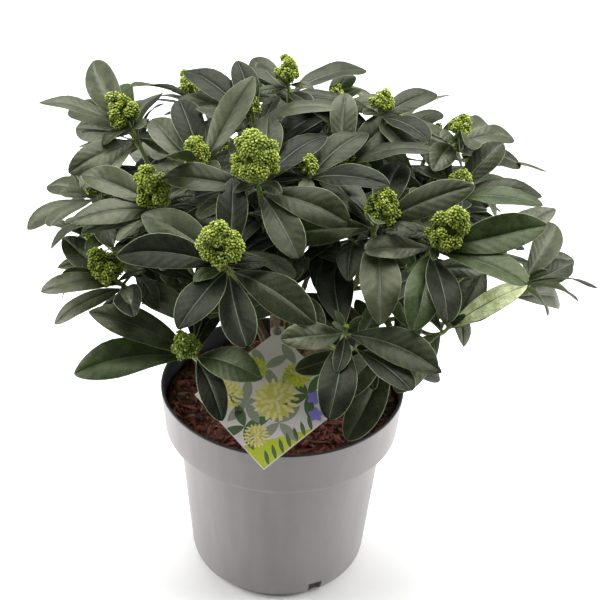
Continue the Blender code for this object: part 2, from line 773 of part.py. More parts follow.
def make_label(path):
    """A square card, its upper corner cut off, held there by an eye round a bough's path."""
    low, to_eye, normal = label_frame(path)
    reach = to_eye.length
    up_slope = to_eye / reach
    across = up_slope.cross(normal)
    right = (up_slope + across).normalized()
    left = (up_slope - across).normalized()
    thick = normal * LABEL_THICKNESS
    edge = 2 * (reach - LABEL_EYE_INNER * 1.1) / math.sqrt(2) - LABEL_SIDE
    outline = [
        low,
        low + right * LABEL_SIDE,
        low + right * LABEL_SIDE + left * edge,
        low + left * LABEL_SIDE + right * edge,
        low + left * LABEL_SIDE,
    ]
    card = object_from("label", *skin([outline, [p + thick for p in outline]]), "label")
    profile = ((LABEL_EYE_INNER, 0), (LABEL_EYE_OUTER, 0), (LABEL_EYE_OUTER, 1), (LABEL_EYE_INNER, 1))
    points = []
    for i in range(LABEL_EYE_SIDES):
        turn = 2 * math.pi * i / LABEL_EYE_SIDES
        out = up_slope * math.cos(turn) + across * math.sin(turn)
        points += [low + to_eye + out * r + thick * (0.1 + 0.8 * h) for r, h in profile]
    faces = []
    for i in range(LABEL_EYE_SIDES):
        j = (i + 1) % LABEL_EYE_SIDES
        for k in range(4):
            m = (k + 1) % 4
            faces.append((4 * i + k, 4 * i + m, 4 * j + m, 4 * j + k))
    eye = object_from("label_eye", points, faces, "label")
    union = card.modifiers.new("eye", "BOOLEAN")
    union.operation = "UNION"
    union.object = eye
    eye.hide_render = True
    eye.display_type = "WIRE"
    return card


def solid_of(made):
    """Points and faces of a finished object, for the test of what space is taken."""
    graph = bpy.context.evaluated_depsgraph_get()
    mesh = made.evaluated_get(graph).to_mesh()
    points = [v.co.copy() for v in mesh.vertices]
    faces = [tuple(face.vertices) for face in mesh.polygons]
    return points, faces


def build():
    clear_scene()
    taken = Taken()
    masses = all_masses()
    bough_starts(masses)
    held = next(mass for mass in masses if mass.name == LABEL_BOUGH)
    for made in (make_pot(), make_soil(), make_trunk(), make_label(held.path)):
        taken.add("", *solid_of(made))
    for mass in masses:
        line = line_along(mass.path, 0.0, BOUGH_SHARE, BOUGH_STEPS)
        solid = tube(line, BOUGH_RADIUS, BOUGH_TIP_RADIUS, BOUGH_SIDES, mass.cap)
        name = mass.name.replace("foliage", "bough")
        object_from(name, *solid, "wood", smooth=True)
        taken.add("", *solid)
    grow(masses, taken)
    for mass in masses:
        fuse(mass)


build()
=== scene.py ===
"""The looks of a potted evergreen shrub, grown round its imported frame.

Metres, +Z up. The origin is the centre of the pot's flat underside, -Y is the front. The tables
give places, leaves and heads in centimetres, and bearings, rises and twists in degrees.
"""

import math
import random

import bpy
import numpy as np
from mathutils import Matrix, Vector, noise
from mathutils.bvhtree import BVHTree
from mathutils.kdtree import KDTree


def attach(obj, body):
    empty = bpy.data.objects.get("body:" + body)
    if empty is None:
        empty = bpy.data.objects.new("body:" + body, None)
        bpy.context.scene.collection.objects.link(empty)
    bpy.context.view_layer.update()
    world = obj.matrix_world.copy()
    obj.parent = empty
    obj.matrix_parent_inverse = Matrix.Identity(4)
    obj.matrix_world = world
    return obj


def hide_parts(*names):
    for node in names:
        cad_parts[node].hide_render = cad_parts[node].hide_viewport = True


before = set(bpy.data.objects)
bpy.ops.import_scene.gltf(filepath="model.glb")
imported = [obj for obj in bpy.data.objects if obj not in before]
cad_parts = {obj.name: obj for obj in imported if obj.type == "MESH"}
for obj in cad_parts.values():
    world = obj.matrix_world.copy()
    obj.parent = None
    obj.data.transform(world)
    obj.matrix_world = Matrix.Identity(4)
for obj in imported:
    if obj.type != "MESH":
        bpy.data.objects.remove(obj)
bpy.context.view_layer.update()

CM = 0.01
CLEAR = 0.0003
BODY = "root"
TURN = 2 * math.pi
UP = Vector((0, 0, 1))

# Camera, as worked out from the photograph
CAMERA_PLACE = (0.0126, -1.0104, 0.8866)
CAMERA_PITCH = math.radians(31.371)
CAMERA_ROLL = math.radians(2.228)
CAMERA_LENS = 83.12

# Light, in front and behind: the strength of the surroundings and the floor's grey
WORLD_FRONT, WORLD_BACK = 0.05, 0.55
FLOOR_FRONT, FLOOR_BACK = 0.34, 0.94
# Lamps: place, aim, size and power
LAMPS = {
    "left": ((-1.7, 0.1, 0.9), (0, 0, 0.25), 1.3, 40.0),
    "right": ((1.7, 0.2, 0.9), (0, 0, 0.25), 1.3, 39.0),
    "top": ((0.0, 0.7, 2.0), (0, 0, 0.2), 2.0, 87.0),
    "front": ((-0.4, -2.2, 1.7), (0, 0, 0.25), 1.0, 1.6),
}

# Pot, repeated from the source
RIM_RADIUS = 0.1075
RIM_TOP = 0.1854
COLLAR_BOTTOM = 0.1418
COLLAR_RADIUS = 0.1042
COLLAR_BEVEL = 0.004
BODY_TOP_RADIUS = 0.0922
BODY_FOOT_RADIUS = 0.0803
FOOT_CORNER = 0.0155
FOOT_RADIUS = 0.0695
WALL = 0.0026
CAVITY_RADIUS = 0.0755
FLOOR_UNDERSIDE = 0.016
FLOOR_TOP = 0.0195
BOSS_RADIUS = 0.020
NOTCH_BEARINGS = (-63, 57, 177)
NOTCH_WIDTH = 0.013
NOTCH_HEIGHT = 0.015
SOIL_TOP = 0.170

# Stem foot and boughs, repeated from the source
TRUNK_FOOT = Vector((0.0, 0.010, SOIL_TOP + CLEAR))
TRUNK_HEIGHT = 0.032
TRUNK_FOOT_RADIUS = 0.0122
TRUNK_TOP_RADIUS = 0.0104
TRUNK_FLARE = 0.0060
TRUNK_FLARE_SHARE = 0.45
TRUNK_LEAN = Vector((-0.0015, -0.001, 0.0))
BOUGH_RADIUS = 0.0028
BOUGH_TIP_RADIUS = 0.0022
BOUGH_SHARE = 0.62
TWIG_RADIUS = 0.0021
TWIG_TIP_RADIUS = 0.0017
TWIG_STEPS = 4
HUB_SHARE = 0.60
SIDE_RISE = 0.0195
SIDE_SPREAD = 0.006
SHOULDER_RISE = 0.075
HUB_SHIFTS = {"foliage_front_left": Vector((-0.011, 0.004, 0.0))}

# Leaves, repeated from the source
LEAF_WIDTH_SHARE = 0.385
LEAF_SPACING = 0.0032
LOWER_LEAVES = 2
LOWER_SPACING = (0.010, 0.022)
LOWER_RISE = (-25, 12)
GOLDEN_TURN = 137.5
LEAF_ARCH = 0.07
FRONT_LEAN = 0.24
SMALL_HEAD = 0.006

# Crown, repeated from the source
CROWN_CENTRE = Vector((0.015, 0.020, 0.240))
CROWN_REACH = Vector((0.235, 0.215, 0.208))
CROWN_POWER = 3.0

# Plant label, repeated from the source
LABEL_SIDE = 0.091
LABEL_THICKNESS = 0.0009
LABEL_LOW_CORNER = Vector((-0.0115, -0.1210, 0.1812))
LABEL_SLOPE = math.radians(29)
LABEL_ROLL = math.radians(-4)
LABEL_BOUGH = "foliage_front"
LABEL_EYE_INNER = 0.0032
LABEL_EYE_OUTER = 0.0062
LABEL_SPACE = ((-0.085, -0.17, 0.17), (0.050, -0.03, 0.285))

# Every shoot, as in the source: its tip and flower head in centimetres, its leaves as
# (bearing, rise, length, and for a few the blade's twist), and how many more leaves it has.
FRONT_SHOOTS = {
    "foliage_left_top": (
        ((-14.5, 8, 40.3), (3.1, 3.1), ((122, 25, 9), (81, 14, 7.8), (181, 23, 8.6), (145, 16, 8),
         (231, 1, 7.5), (262, -8, 6.5), (221, 7, 7.5), (109, 15, 8.5), (198, -8, 5.2),
         (40, 8, 5.5)), 1),
        ((-16.4, 2, 36.1), (1.4, 1.6), ((150, 0, 6.8), (221, 2, 7.6), (243, 3, 7.5),
         (279, -2, 6)), 1),
    ),
    "foliage_left": (
        ((-10.8, -2, 38.3), (3.4, 3.9), ((158, 13, 8), (203, 7, 8.2), (203, 4, 7.5), (232, 6, 6),
         (268, -4, 6)), 1),
        ((-14.7, -4, 31.9), (3.3, 3.6), ((146, 19, 6.8), (214, 13, 7.5), (208, -6, 7.6),
         (279, 6, 6), (275, -2, 7), (319, 1, 6.5), (182, 8, 5.5)), 0),
    ),
    "foliage_front_left": (
        ((-7.6, -9, 27.9), (2.4, 2.6), ((175, 22, 9.2), (192, -2, 10.1), (73, 15, 6),
         (318, 13, 7.5), (289, -9, 7)), 0),
    ),
    "foliage_front": (
        ((-5.1, -9, 37.1), (3.6, 4.4), ((153, 19, 8.5), (183, 10, 8.9), (245, -1, 8.4),
         (280, -13, 7.8), (319, -2, 8.6), (90, 40, 7.5), (60, 3, 6.8)), 0),
        ((0.5, -6, 32.5), (0.9, 0.9), ((17, -29, 7.8), (298, 3, 6)), 3),
    ),
    "foliage_centre": (
        ((-2.7, -3, 41.7), (4.2, 4.8), ((183, 10, 8), (210, 12, 7.5), (40, 25, 7.5), (87, 29, 7.5),
         (103, 19, 7.5), (325, 9, 8.5), (293, 2, 8.2)), 0),
        ((-7.6, 1, 40.1), (2.4, 2.6), ((115, 28, 8), (134, 24, 8.5), (240, 31, 7.5),
         (53, 36, 9)), 2),
        ((1.6, -1, 40.2), (1.6, 1.8), (), 3),
    ),
    "foliage_top_back": (
        ((-0.5, 9, 44.2), (2.2, 2.4), ((124, 15, 6.2), (234, 39, 5.6), (45, 6, 9.4),
         (300, 15, 4.5)), 2),
        ((-3.4, 5, 42.6), (1.8, 1.8), ((110, 34, 6.2), (155, 15, 7.8), (220, 29, 6.5),
         (141, 21, 8.8), (127, 13, 6)), 2),
        ((3.7, 10, 41.7), (1.8, 1.8), ((75, 13, 6.5), (20, 6, 7)), 3),
    ),
    "foliage_right_back": (
        ((7.7, 9, 41.8), (2.2, 2), ((36, 6, 7), (306, 10, 7), (293, 9, 7), (66, 0, 6)), 1),
        ((4.6, 3, 39.4), (1.6, 1.6), ((49, 25, 8), (90, 44, 7), (270, -5, 6.5), (190, 5, 7)), 3),
    ),
    "foliage_right_top": (
        ((14.5, 9, 39.6), (2.1, 2.2), ((27, 1, 7.2), (41, 0, 7.2), (52, 6, 7), (279, 15, 6),
         (255, 11, 6.5), (12, -3, 7.5), (140, 12, 5)), 0),
        ((14.2, 2, 37.9), (2, 2), ((336, 13, 8.4), (4, 10, 8.4), (43, 3, 7.2), (44, 27, 7),
         (110, 19, 8.2), (277, 18, 5.5)), 1),
    ),
    "foliage_front_right": (
        ((7.4, -5, 38.9), (3, 3.2), ((122, 18, 8), (72, 21, 8.5), (268, 33, 5),
         (275, -12, 8.8)), 3),
        ((12.5, -6, 37.7), (3.4, 4), ((265, -8, 8.3), (322, 7, 9.3), (358, 19, 9.2), (205, 12, 6),
         (283, -7, 7.8)), 1),
    ),
    "foliage_right_low": (
        ((13.8, -3.2, 27), (0.8, 0.8), ((241, -10, 7.8), (101, -15, 5), (125, 0, 6.5),
         (352, 31, 8.4, 48)), 0),
        ((19.8, -3, 31.8), (0.9, 0.9), ((60, 21, 7.4), (32, 14, 6.4), (330, 21, 7.1, 36),
         (328, 13, 6, 45), (304, 8, 5, 40), (180, -20, 4)), 0),
        ((17.5, 1, 33), (1, 1), ((40, 15, 6.8), (289, 28, 5.5)), 1),
    ),
    "foliage_front_low": (
        ((4.9, -11, 31.4), (0.9, 0.9), ((325, 5, 8.6), (265, 2, 4.6), (218, 17, 6.2),
         (264, -8, 8.4), (95, 16, 8)), 0),
        ((9, -7.5, 28.5), (0.9, 0.9), ((250, -26, 8.6), (235, -20, 7)), 2),
    ),
}

# The shoots of the back, as in the source: mass, radius and height in centimetres, the
# bearings of the arc's two ends, and how many shoots stand on it.
BACK_ARCS = (
    ("foliage_back_left", 16.5, 39.5, 106, 129, 2),
    ("foliage_back_left", 18.0, 30.5, 135, 172, 3),
    ("foliage_back", 15.5, 38.0, 60, 86, 2),
    ("foliage_back", 18.0, 32.0, 80, 113, 3),
    ("foliage_back_right", 18.5, 35.5, 34, 50, 2),
    ("foliage_back_right", 18.0, 29.5, 12, 60, 3),
)
ARC_CENTRE = Vector((1.0, 2.0, 0.0))
BACK_HEAD = (2.2, 2.4)
BACK_LEAVES = 7

# Leaves that the photograph shows besides those of the source: mass, shoot, centimetres down
# the shoot, and the ways tried, as (bearing, rise, length)
FURTHER_LEAVES = (
    ("foliage_left_top", 0, 1.8, ((215, 29, 7.5), (219, 15, 7.5), (161, -10, 7.5))),
    ("foliage_left_top", 0, 0.4, ((150, -12, 7.5), (147, -9, 7.5), (208, 14, 6.0))),
    ("foliage_left_top", 1, 1.8, ((127, 5, 7.5), (135, 16, 6.0), (121, -5, 7.5))),
    ("foliage_left_top", 1, 0.4, ((116, 2, 7.5), (120, 11, 6.0), (131, 29, 6.0))),
    ("foliage_left_top", 0, 1.8, ((245, 13, 6.0), (138, -29, 6.0), (130, -29, 7.5))),
    ("foliage_left_top", 0, 0.4, ((84, 9, 7.5), (80, 19, 6.0), (88, 21, 7.5))),
    ("foliage_left_top", 0, 1.8, ((91, 6, 7.5), (93, 7, 6.0), (83, 1, 6.0))),
    ("foliage_left_top", 0, 0.4, ((67, 3, 7.5), (58, 11, 6.0), (71, 13, 7.5))),
    ("foliage_left_top", 1, 0.4, ((97, 1, 7.5), (96, 8, 6.0), (103, 22, 6.0))),
    ("foliage_left_top", 0, 1.2, ((70, 22, 5.0), (60, 26, 4.5), (80, 25, 5.0), (50, 22, 4.5))),
    ("foliage_right_low", 1, 0.4, ((37, 5, 6.0), (46, -4, 7.5), (39, 7, 7.5))),
    ("foliage_right_low", 1, 1.8, ((45, -13, 7.5), (37, -7, 6.0), (50, -22, 7.5))),
    ("foliage_right_low", 1, 1.8, ((75, 4, 7.5), (80, 2, 6.0), (73, 14, 6.0))),
)

# The one leaf given a pale look, its lighter tone with a painted highlight on its upper face,
# and the blades seen turned otherwise than in the source: mass, bearing, rise, and the twist
PALE_HIGHLIGHT_LEAF = ("foliage_right_low", 352, 31)
TWISTS = {
    PALE_HIGHLIGHT_LEAF: 20,
    ("foliage_left_top", 181, 23): -24,
    ("foliage_left_top", 221, 7): 45,
    ("foliage_left_top", 231, 1): 20,
    ("foliage_left_top", 198, -8): 35,
}
# Masses whose twigs the photograph shows bare
BARE = ("foliage_right_low",)

# The turns, lifts and lengths that a leaf tries in the source
CHOICES = tuple(
    (turn, lift, size)
    for size in (1.0, 0.88, 0.76)
    for turn, lift in ((0, 0), (0, 5), (0, -5), (6, 0), (-6, 0), (0, 10), (0, -10), (7, 7),
                       (-7, 7), (7, -7), (-7, -7), (13, 0), (-13, 0), (0, 18), (0, -18),
                       (14, 12), (-14, 12), (14, -12), (-14, -12), (22, 8), (-22, 8))
)
# How near to a point of the frame's mass the tip of a leaf stands that has grown there
TIP_NEAR = 0.00025

# Leaf blade: shares of its length where its mesh has a ring, and the shape of its outline
STATIONS = np.array((0, 0.03, 0.07, 0.12, 0.20, 0.29, 0.38, 0.47, 0.56, 0.65, 0.74, 0.82, 0.89,
                     0.945, 0.982))
OUTLINE_BASE = 1.05
OUTLINE_TIP = (0.50, 0.82)
PETIOLE_HALF = 0.0010
PETIOLE_SHARE = 0.055
MARGIN_WIDTH = 0.00045
BLADE_THICKNESS = 0.00060
SIDE_PLACES = (0.62, 0.28)
UNDER_PLACE = 0.62
BLADE_START = 0.035
FOLD = (0.10, 0.36)
CURL = (0.04, 0.22)
RIPPLES = (1.0, 1.9)
RIPPLE_DEPTH = (0.02, 0.11)
BLADE_TURN = 0.28
ARCH_SPREAD = (0.6, 1.5)
DROOP = (0.0, 0.075)
BLADE_BEND = 0.05

# Finer leaves: their clearance over the rim, how much by a root isn't tested, how often a place
# is tried, and their lengths and widths
OVER_RIM = 0.004
ROOT_FREE = 0.008
FURTHER_TRIES, FINE_TRIES = 8, 5
FINE_LEAF, SMALL_LEAF, TIP_LEAF = (0.045, 0.078), (0.024, 0.040), (0.016, 0.027)
SMALL_WIDTH, TIP_WIDTH = 0.40, 0.34

# Finer twigs: the stretch of a twig that bears them, their lengths and radii
FINE_FROM, FINE_STRETCH = 0.15, 0.58
FINE_LENGTH = (0.006, 0.018)
FINE_RADII = (0.0014, 0.0011)
# Bark: how far the scar of a leaf swells and reaches, and the depth of the stem's furrows
SCAR_SWELL, SCAR_REACH = 0.00035, 0.0016
FURROW_DEPTH = 0.00065

# Flower heads: the buds in metres, the rest as shares of a head's size or of a lobe's
BUD_RADIUS = 0.00112
BUD_SPACING = 0.0022
LOBE_SHARE = 0.26
HEAD_UNEVEN = 0.16
HEAD_TOP, HEAD_FOOT = 1.32, 0.72
HEAD_DROP = 0.08
SHADE_CORE_SHARE = 0.74
LOBE_REACH = (0.82, 1.13)
LOBE_SIZES = (0.62, 1.22)
LOBE_SHADE_CORE = 0.80
LOWEST_LOBE, LOWEST_BUD = -0.88, -0.70

# Loose bark on the soil
CHIP_COUNT, FIBRE_COUNT = 2200, 130
CHIP_SIZE = (0.0048, 0.0023, 0.0009)
CHIP_SCALES = (0.4, 0.5, 0.7, 0.7, 0.9, 1.3)
STEM_ROOM = 0.0165
FIBRE_RADIUS = 0.00028


def direction(bearing, rise):
    """The unit vector of a bearing round +Z and a rise above the level, in radians."""
    level = math.cos(rise)
    return Vector((level * math.cos(bearing), level * math.sin(bearing), math.sin(rise)))


def mix(turn, first, second):
    """The way at an angle from the first of two unit vectors, towards the second."""
    return first * math.cos(turn) + second * math.sin(turn)


def ring_of(centre, across, up, radius, sides):
    """Points round a centre, in the plane of two unit vectors."""
    step = TURN / sides
    return [centre + radius * mix(i * step, across, up) for i in range(sides)]


def level_ring(centre, radius, sides):
    return ring_of(centre, Vector((1, 0, 0)), Vector((0, 1, 0)), radius, sides)


def skin(rings):
    """Points and faces of one closed surface through rings; a ring of one point is a tip."""
    points = []
    starts = []
    for ring in rings:
        starts.append(len(points))
        points.extend(ring)
    faces = []
    for a, b, low, high in zip(rings, rings[1:], starts, starts[1:]):
        count = max(len(a), len(b))
        for i in range(count):
            j = (i + 1) % count
            if len(a) == 1:
                faces.append((low, high + j, high + i))
            elif len(b) == 1:
                faces.append((low + i, low + j, high))
            else:
                faces.append((low + i, low + j, high + j, high + i))
    if len(rings[0]) > 1:
        faces.append(tuple(reversed(range(len(rings[0])))))
    if len(rings[-1]) > 1:
        faces.append(tuple(starts[-1] + i for i in range(len(rings[-1]))))
    return points, faces


class Gather:
    """Many small shapes that become one piece: points, faces and the look of each face."""

    def __init__(self):
        self.points = []
        self.faces = []
        self.looks = []
        self.places = []

    def add(self, points, faces, looks, places=()):
        """Adds a shape. Looks is one number, or one for each face."""
        start = len(self.points)
        self.points.extend(points)
        self.faces.extend([tuple(start + i for i in face) for face in faces])
        self.looks.extend([looks] * len(faces) if isinstance(looks, int) else looks)
        self.places.extend(places)

    def piece(self, name, materials, slot, nodes=(), sharp=None):
        """Makes the piece, smooth but for edges sharper than an angle in degrees.

        It rides on the body's empty, and the frame's nodes that it stands for are hidden.
        """
        mesh = bpy.data.meshes.new(name)
        mesh.from_pydata(self.points, [], self.faces)
        for look in materials:
            mesh.materials.append(look)
        mesh.polygons.foreach_set("material_index", self.looks)
        mesh.shade_smooth()
        if sharp:
            mesh.set_sharp_from_angle(angle=math.radians(sharp))
        if self.places:
            corners = np.zeros(len(mesh.loops), np.int32)
            mesh.loops.foreach_get("vertex_index", corners)
            layer = mesh.uv_layers.new(name="blade")
            layer.data.foreach_set("uv", np.array(self.places, np.float32)[corners].ravel())
        made = linked(name, mesh)
        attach(made, BODY)
        if nodes:
            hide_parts(*nodes)
        return made


def linked(name, data):
    """A new object in the scene."""
    made = bpy.data.objects.new(name, data)
    bpy.context.scene.collection.objects.link(made)
    return made


# Materials


class Nodes:
    """A short hand for the node tree of a material or of the surroundings."""

    def __init__(self, owner, surface="Principled BSDF"):
        owner.use_nodes = True
        self.owner = owner
        self.tree = owner.node_tree
        self.surface = self.tree.nodes[surface]
        self.place = self.add("ShaderNodeTexCoord").outputs

    def add(self, kind, **inputs):
        node = self.tree.nodes.new(kind)
        for name, value in inputs.items():
            self.set(node, name.replace("_", " "), value)
        return node

    def set(self, node, name, value):
        socket = node.inputs[name]
        if isinstance(value, bpy.types.NodeSocket):
            self.tree.links.new(value, socket)
        else:
            socket.default_value = value

    def math(self, operation, first, second=0.0):
        node = self.tree.nodes.new("ShaderNodeMath")
        node.operation = operation
        self.set(node, 0, first)
        self.set(node, 1, second)
        return node.outputs[0]

    def plus(self, first, second):
        return self.math("ADD", first, second)

    def minus(self, first, second):
        return self.math("SUBTRACT", first, second)

    def times(self, first, second):
        return self.math("MULTIPLY", first, second)

    def noise(self, scale, detail=4.0, rough=0.6):
        return self.add("ShaderNodeTexNoise", Vector=self.place["Object"], Scale=scale,
                        Detail=detail, Roughness=rough).outputs["Fac"]

    def dots(self, scale):
        return self.add("ShaderNodeTexVoronoi", Vector=self.place["Object"],
                        Scale=scale).outputs["Distance"]

    def ramp(self, value, *stops):
        """Colours or greys along a value, as (position, colour)."""
        node = self.add("ShaderNodeValToRGB", Fac=value)
        elements = node.color_ramp.elements
        while len(elements) < len(stops):
            elements.new(0.5)
        for element, (position, colour) in zip(elements, stops):
            element.position = position
            element.color = (*colour, 1.0) if hasattr(colour, "__len__") else (*[colour] * 3, 1.0)
        return node.outputs["Color"]

    def between(self, value, low, high, **more):
        return self.add("ShaderNodeMapRange", Value=value, To_Min=low, To_Max=high,
                        **more).outputs[0]

    def bump(self, height, strength, distance, under=None):
        node = self.add("ShaderNodeBump", Height=height, Strength=strength, Distance=distance)
        if under:
            self.set(node, "Normal", under)
        return node.outputs["Normal"]

    def finish(self, **inputs):
        for name, value in inputs.items():
            self.set(self.surface, name.replace("_", " "), value)
        return self.owner


def material(name):
    return Nodes(bpy.data.materials.new(name))


def scaled(colour, factor):
    return [part * factor for part in colour]


def soft_look(name, tone, other, scale, rough, relief=(0.0, 400.0), **more):
    """Two near tones in soft patches, uneven roughness and a fine relief."""
    nodes = material(name)
    colour = nodes.ramp(nodes.noise(scale), (0.36, tone), (0.66, other))
    gloss = nodes.between(nodes.noise(scale * 2.3), *rough)
    strength, fine = relief
    normal = nodes.bump(nodes.noise(fine, 3.0), strength, 0.0004)
    return nodes.finish(Base_Color=colour, Roughness=gloss, Normal=normal, **more)


def leaf_look(name, tone, other, shine, rough=(0.25, 0.64), veins=0.6):
    """A leathery blade: soft patches of two tones, and faint side veins that slope forward."""
    nodes = material(name)
    patches = nodes.plus(nodes.times(nodes.noise(85.0), 0.55),
                         nodes.times(nodes.noise(720.0, 3.0), 0.45))
    colour = nodes.ramp(patches, (0.42, scaled(tone, 0.78)), (0.59, scaled(other, 1.2)))
    split = nodes.add("ShaderNodeSeparateXYZ", Vector=nodes.place["UV"])
    away = nodes.math("ABSOLUTE", nodes.minus(split.outputs["X"], 0.5))
    along = nodes.times(split.outputs["Y"], 62.0)
    wave = nodes.math("SINE", nodes.minus(along, nodes.times(away, 22.0)))
    fine = nodes.bump(nodes.noise(900.0, 2.0), 0.22, 0.0003)
    normal = nodes.bump(wave, veins, 0.00010, fine)
    gloss = nodes.between(nodes.noise(240.0, 5.0, 0.7), *rough)
    return nodes.finish(Base_Color=colour, Roughness=gloss, Normal=normal,
                        Specular_IOR_Level=shine, Specular_Tint=(1.0, 1.0, 0.76, 1.0))


def pot_look(name, tone, other, rough):
    """Moulded plastic: nearly even, with faint scuffs, dust and a fine grain."""
    nodes = material(name)
    stretched = nodes.add("ShaderNodeMapping", Vector=nodes.place["Object"],
                          Scale=(1.0, 1.0, 0.18))
    streaks = nodes.add("ShaderNodeTexNoise", Vector=stretched.outputs[0], Scale=70.0, Detail=5.0)
    worn = nodes.plus(nodes.times(streaks.outputs["Fac"], 0.65),
                      nodes.times(nodes.noise(900.0, 2.0), 0.35))
    colour = nodes.ramp(worn, (0.38, tone), (0.62, other))
    gloss = nodes.between(nodes.noise(35.0), *rough)
    normal = nodes.bump(nodes.noise(1400.0, 2.0), 0.10, 0.0003,
                        nodes.bump(nodes.noise(12.0, 1.0), 0.05, 0.002))
    return nodes.finish(Base_Color=colour, Roughness=gloss, Normal=normal)


def bark_look(name, tone, other, scale=260.0):
    """Young bark: streaks along the stem, paler specks and a rough grain."""
    nodes = material(name)
    streaks = nodes.noise(scale, 6.0, 0.7)
    colour = nodes.ramp(streaks, (0.30, tone), (0.62, other), (0.80, scaled(other, 1.5)))
    normal = nodes.bump(streaks, 0.55, 0.0009, nodes.bump(nodes.dots(420.0), 0.35, 0.0005))
    return nodes.finish(Base_Color=colour, Roughness=nodes.between(streaks, 0.62, 0.88),
                        Normal=normal, Specular_IOR_Level=0.25)


def card_look(name, tone):
    """Printed card: its tone, a faint screen of dots and a satin varnish."""
    nodes = material(name)
    colour = nodes.ramp(nodes.dots(2600.0), (0.0, scaled(tone, 1.12)), (0.7, scaled(tone, 0.86)))
    return nodes.finish(Base_Color=colour, Roughness=0.32,
                        Normal=nodes.bump(nodes.noise(60.0, 2.0), 0.06, 0.001))


def rib_look(name, tone, other):
    return soft_look(name, tone, other, 200.0, (0.4, 0.5))


def bud_look(name, tone, other):
    return soft_look(name, tone, other, 500.0, (0.45, 0.6), (0.2, 1500.0), Specular_IOR_Level=0.3)


LOOK_BLACK, LOOK_DARK, LOOK_MID, LOOK_GREY, LOOK_GREEN = range(5)
LOOK_MARGIN, LOOK_RIB, LOOK_UNDER, LOOK_STALK, LOOK_PALE_HIGHLIGHT = range(5, 10)
# The blades from black through dark and mid to grey are copies of one leathery leaf: their own
# spread of tone, with painted shade in the darker and painted sheen in the grey
LEAF_LOOKS = [
    leaf_look("leaf_black", (0.0062, 0.0080, 0.0052), (0.0115, 0.0152, 0.0088), 0.13),
    leaf_look("leaf_dark", (0.011, 0.0150, 0.0066), (0.020, 0.026, 0.0110), 0.22),
    leaf_look("leaf_mid", (0.020, 0.026, 0.0118), (0.034, 0.043, 0.018), 0.38),
    leaf_look("leaf_grey", (0.036, 0.042, 0.0235), (0.058, 0.067, 0.035), 0.48),
    leaf_look("leaf_green", (0.018, 0.031, 0.0090), (0.032, 0.050, 0.0150), 0.26),
    rib_look("leaf_margin", (0.11, 0.15, 0.060), (0.16, 0.20, 0.082)),
    rib_look("leaf_midrib", (0.045, 0.062, 0.028), (0.072, 0.095, 0.043)),
    leaf_look("leaf_under", (0.095, 0.135, 0.042), (0.13, 0.175, 0.056), 0.3, (0.5, 0.6), 0.8),
    rib_look("leaf_stalk", (0.15, 0.20, 0.050), (0.20, 0.26, 0.070)),
    # A light green with a painted highlight, for the one pale blade
    leaf_look("leaf_pale_highlight", (0.50, 0.58, 0.28), (0.72, 0.78, 0.48), 0.3, (0.5, 0.6)),
]

# The look of the blades of each shoot in front, its own tone with painted shade on the darker and
# painted sheen on the grey; those behind are dealt out by chance
SPRAY_TONE_AND_SHADE = {
    "foliage_left_top": (LOOK_MID, LOOK_MID),
    "foliage_left": (LOOK_MID, LOOK_GREY),
    "foliage_front_left": (LOOK_GREEN,),
    "foliage_front": (LOOK_BLACK, LOOK_DARK),
    "foliage_centre": (LOOK_DARK, LOOK_MID, LOOK_DARK),
    "foliage_top_back": (LOOK_DARK, LOOK_MID, LOOK_GREEN),
    "foliage_right_back": (LOOK_DARK, LOOK_DARK),
    "foliage_right_top": (LOOK_MID, LOOK_DARK),
    "foliage_front_right": (LOOK_DARK, LOOK_GREEN),
    "foliage_right_low": (LOOK_GREEN, LOOK_MID, LOOK_DARK),
    "foliage_front_low": (LOOK_BLACK, LOOK_DARK),
}

STEM_BROWN, STEM_OLIVE, STEM_GREEN = range(3)
STEM_LOOKS = [
    bark_look("stem_brown", (0.075, 0.050, 0.030), (0.16, 0.115, 0.070)),
    bark_look("stem_olive", (0.10, 0.105, 0.040), (0.17, 0.165, 0.075)),
    soft_look("stem_green", (0.15, 0.22, 0.055), (0.23, 0.31, 0.09), 150.0, (0.42, 0.55),
              (0.3, 700.0)),
]

BUD_BRIGHT, BUD_GREEN, BUD_PALE_HIGHLIGHT, BUD_STALK, BUD_SHADE_CORE = range(5)
BUD_LOOKS = [
    bud_look("bud_bright", (0.28, 0.35, 0.036), (0.43, 0.49, 0.075)),
    bud_look("bud_green", (0.15, 0.23, 0.026), (0.26, 0.35, 0.050)),
    # Pale buds: painted highlights
    bud_look("bud_pale_highlight", (0.45, 0.50, 0.13), (0.62, 0.65, 0.22)),
    soft_look("bud_stalk", (0.10, 0.15, 0.030), (0.15, 0.21, 0.045), 300.0, (0.5, 0.6),
              Specular_IOR_Level=0.2),
    # The dark core of a head and of its lobes: painted shade between the buds
    soft_look("bud_core_shade", (0.045, 0.075, 0.008), (0.075, 0.115, 0.014), 300.0, (0.6, 0.7),
              Specular_IOR_Level=0.08),
]

SOIL_BROWN, SOIL_RED, SOIL_BLACK, SOIL_TAN = range(4)
# The running shares of the chips that have each look
CHIP_LOOKS = ((0.42, SOIL_BROWN), (0.74, SOIL_RED), (0.94, SOIL_BLACK), (1.0, SOIL_TAN))
SOIL_LOOKS = [
    bark_look("soil_brown", (0.075, 0.026, 0.018), (0.18, 0.062, 0.042), 300.0),
    bark_look("soil_red", (0.15, 0.046, 0.031), (0.26, 0.086, 0.059), 300.0),
    bark_look("soil_black", (0.020, 0.011, 0.0095), (0.052, 0.027, 0.022), 300.0),
    bark_look("soil_tan", (0.13, 0.070, 0.045), (0.23, 0.135, 0.090), 300.0),
]

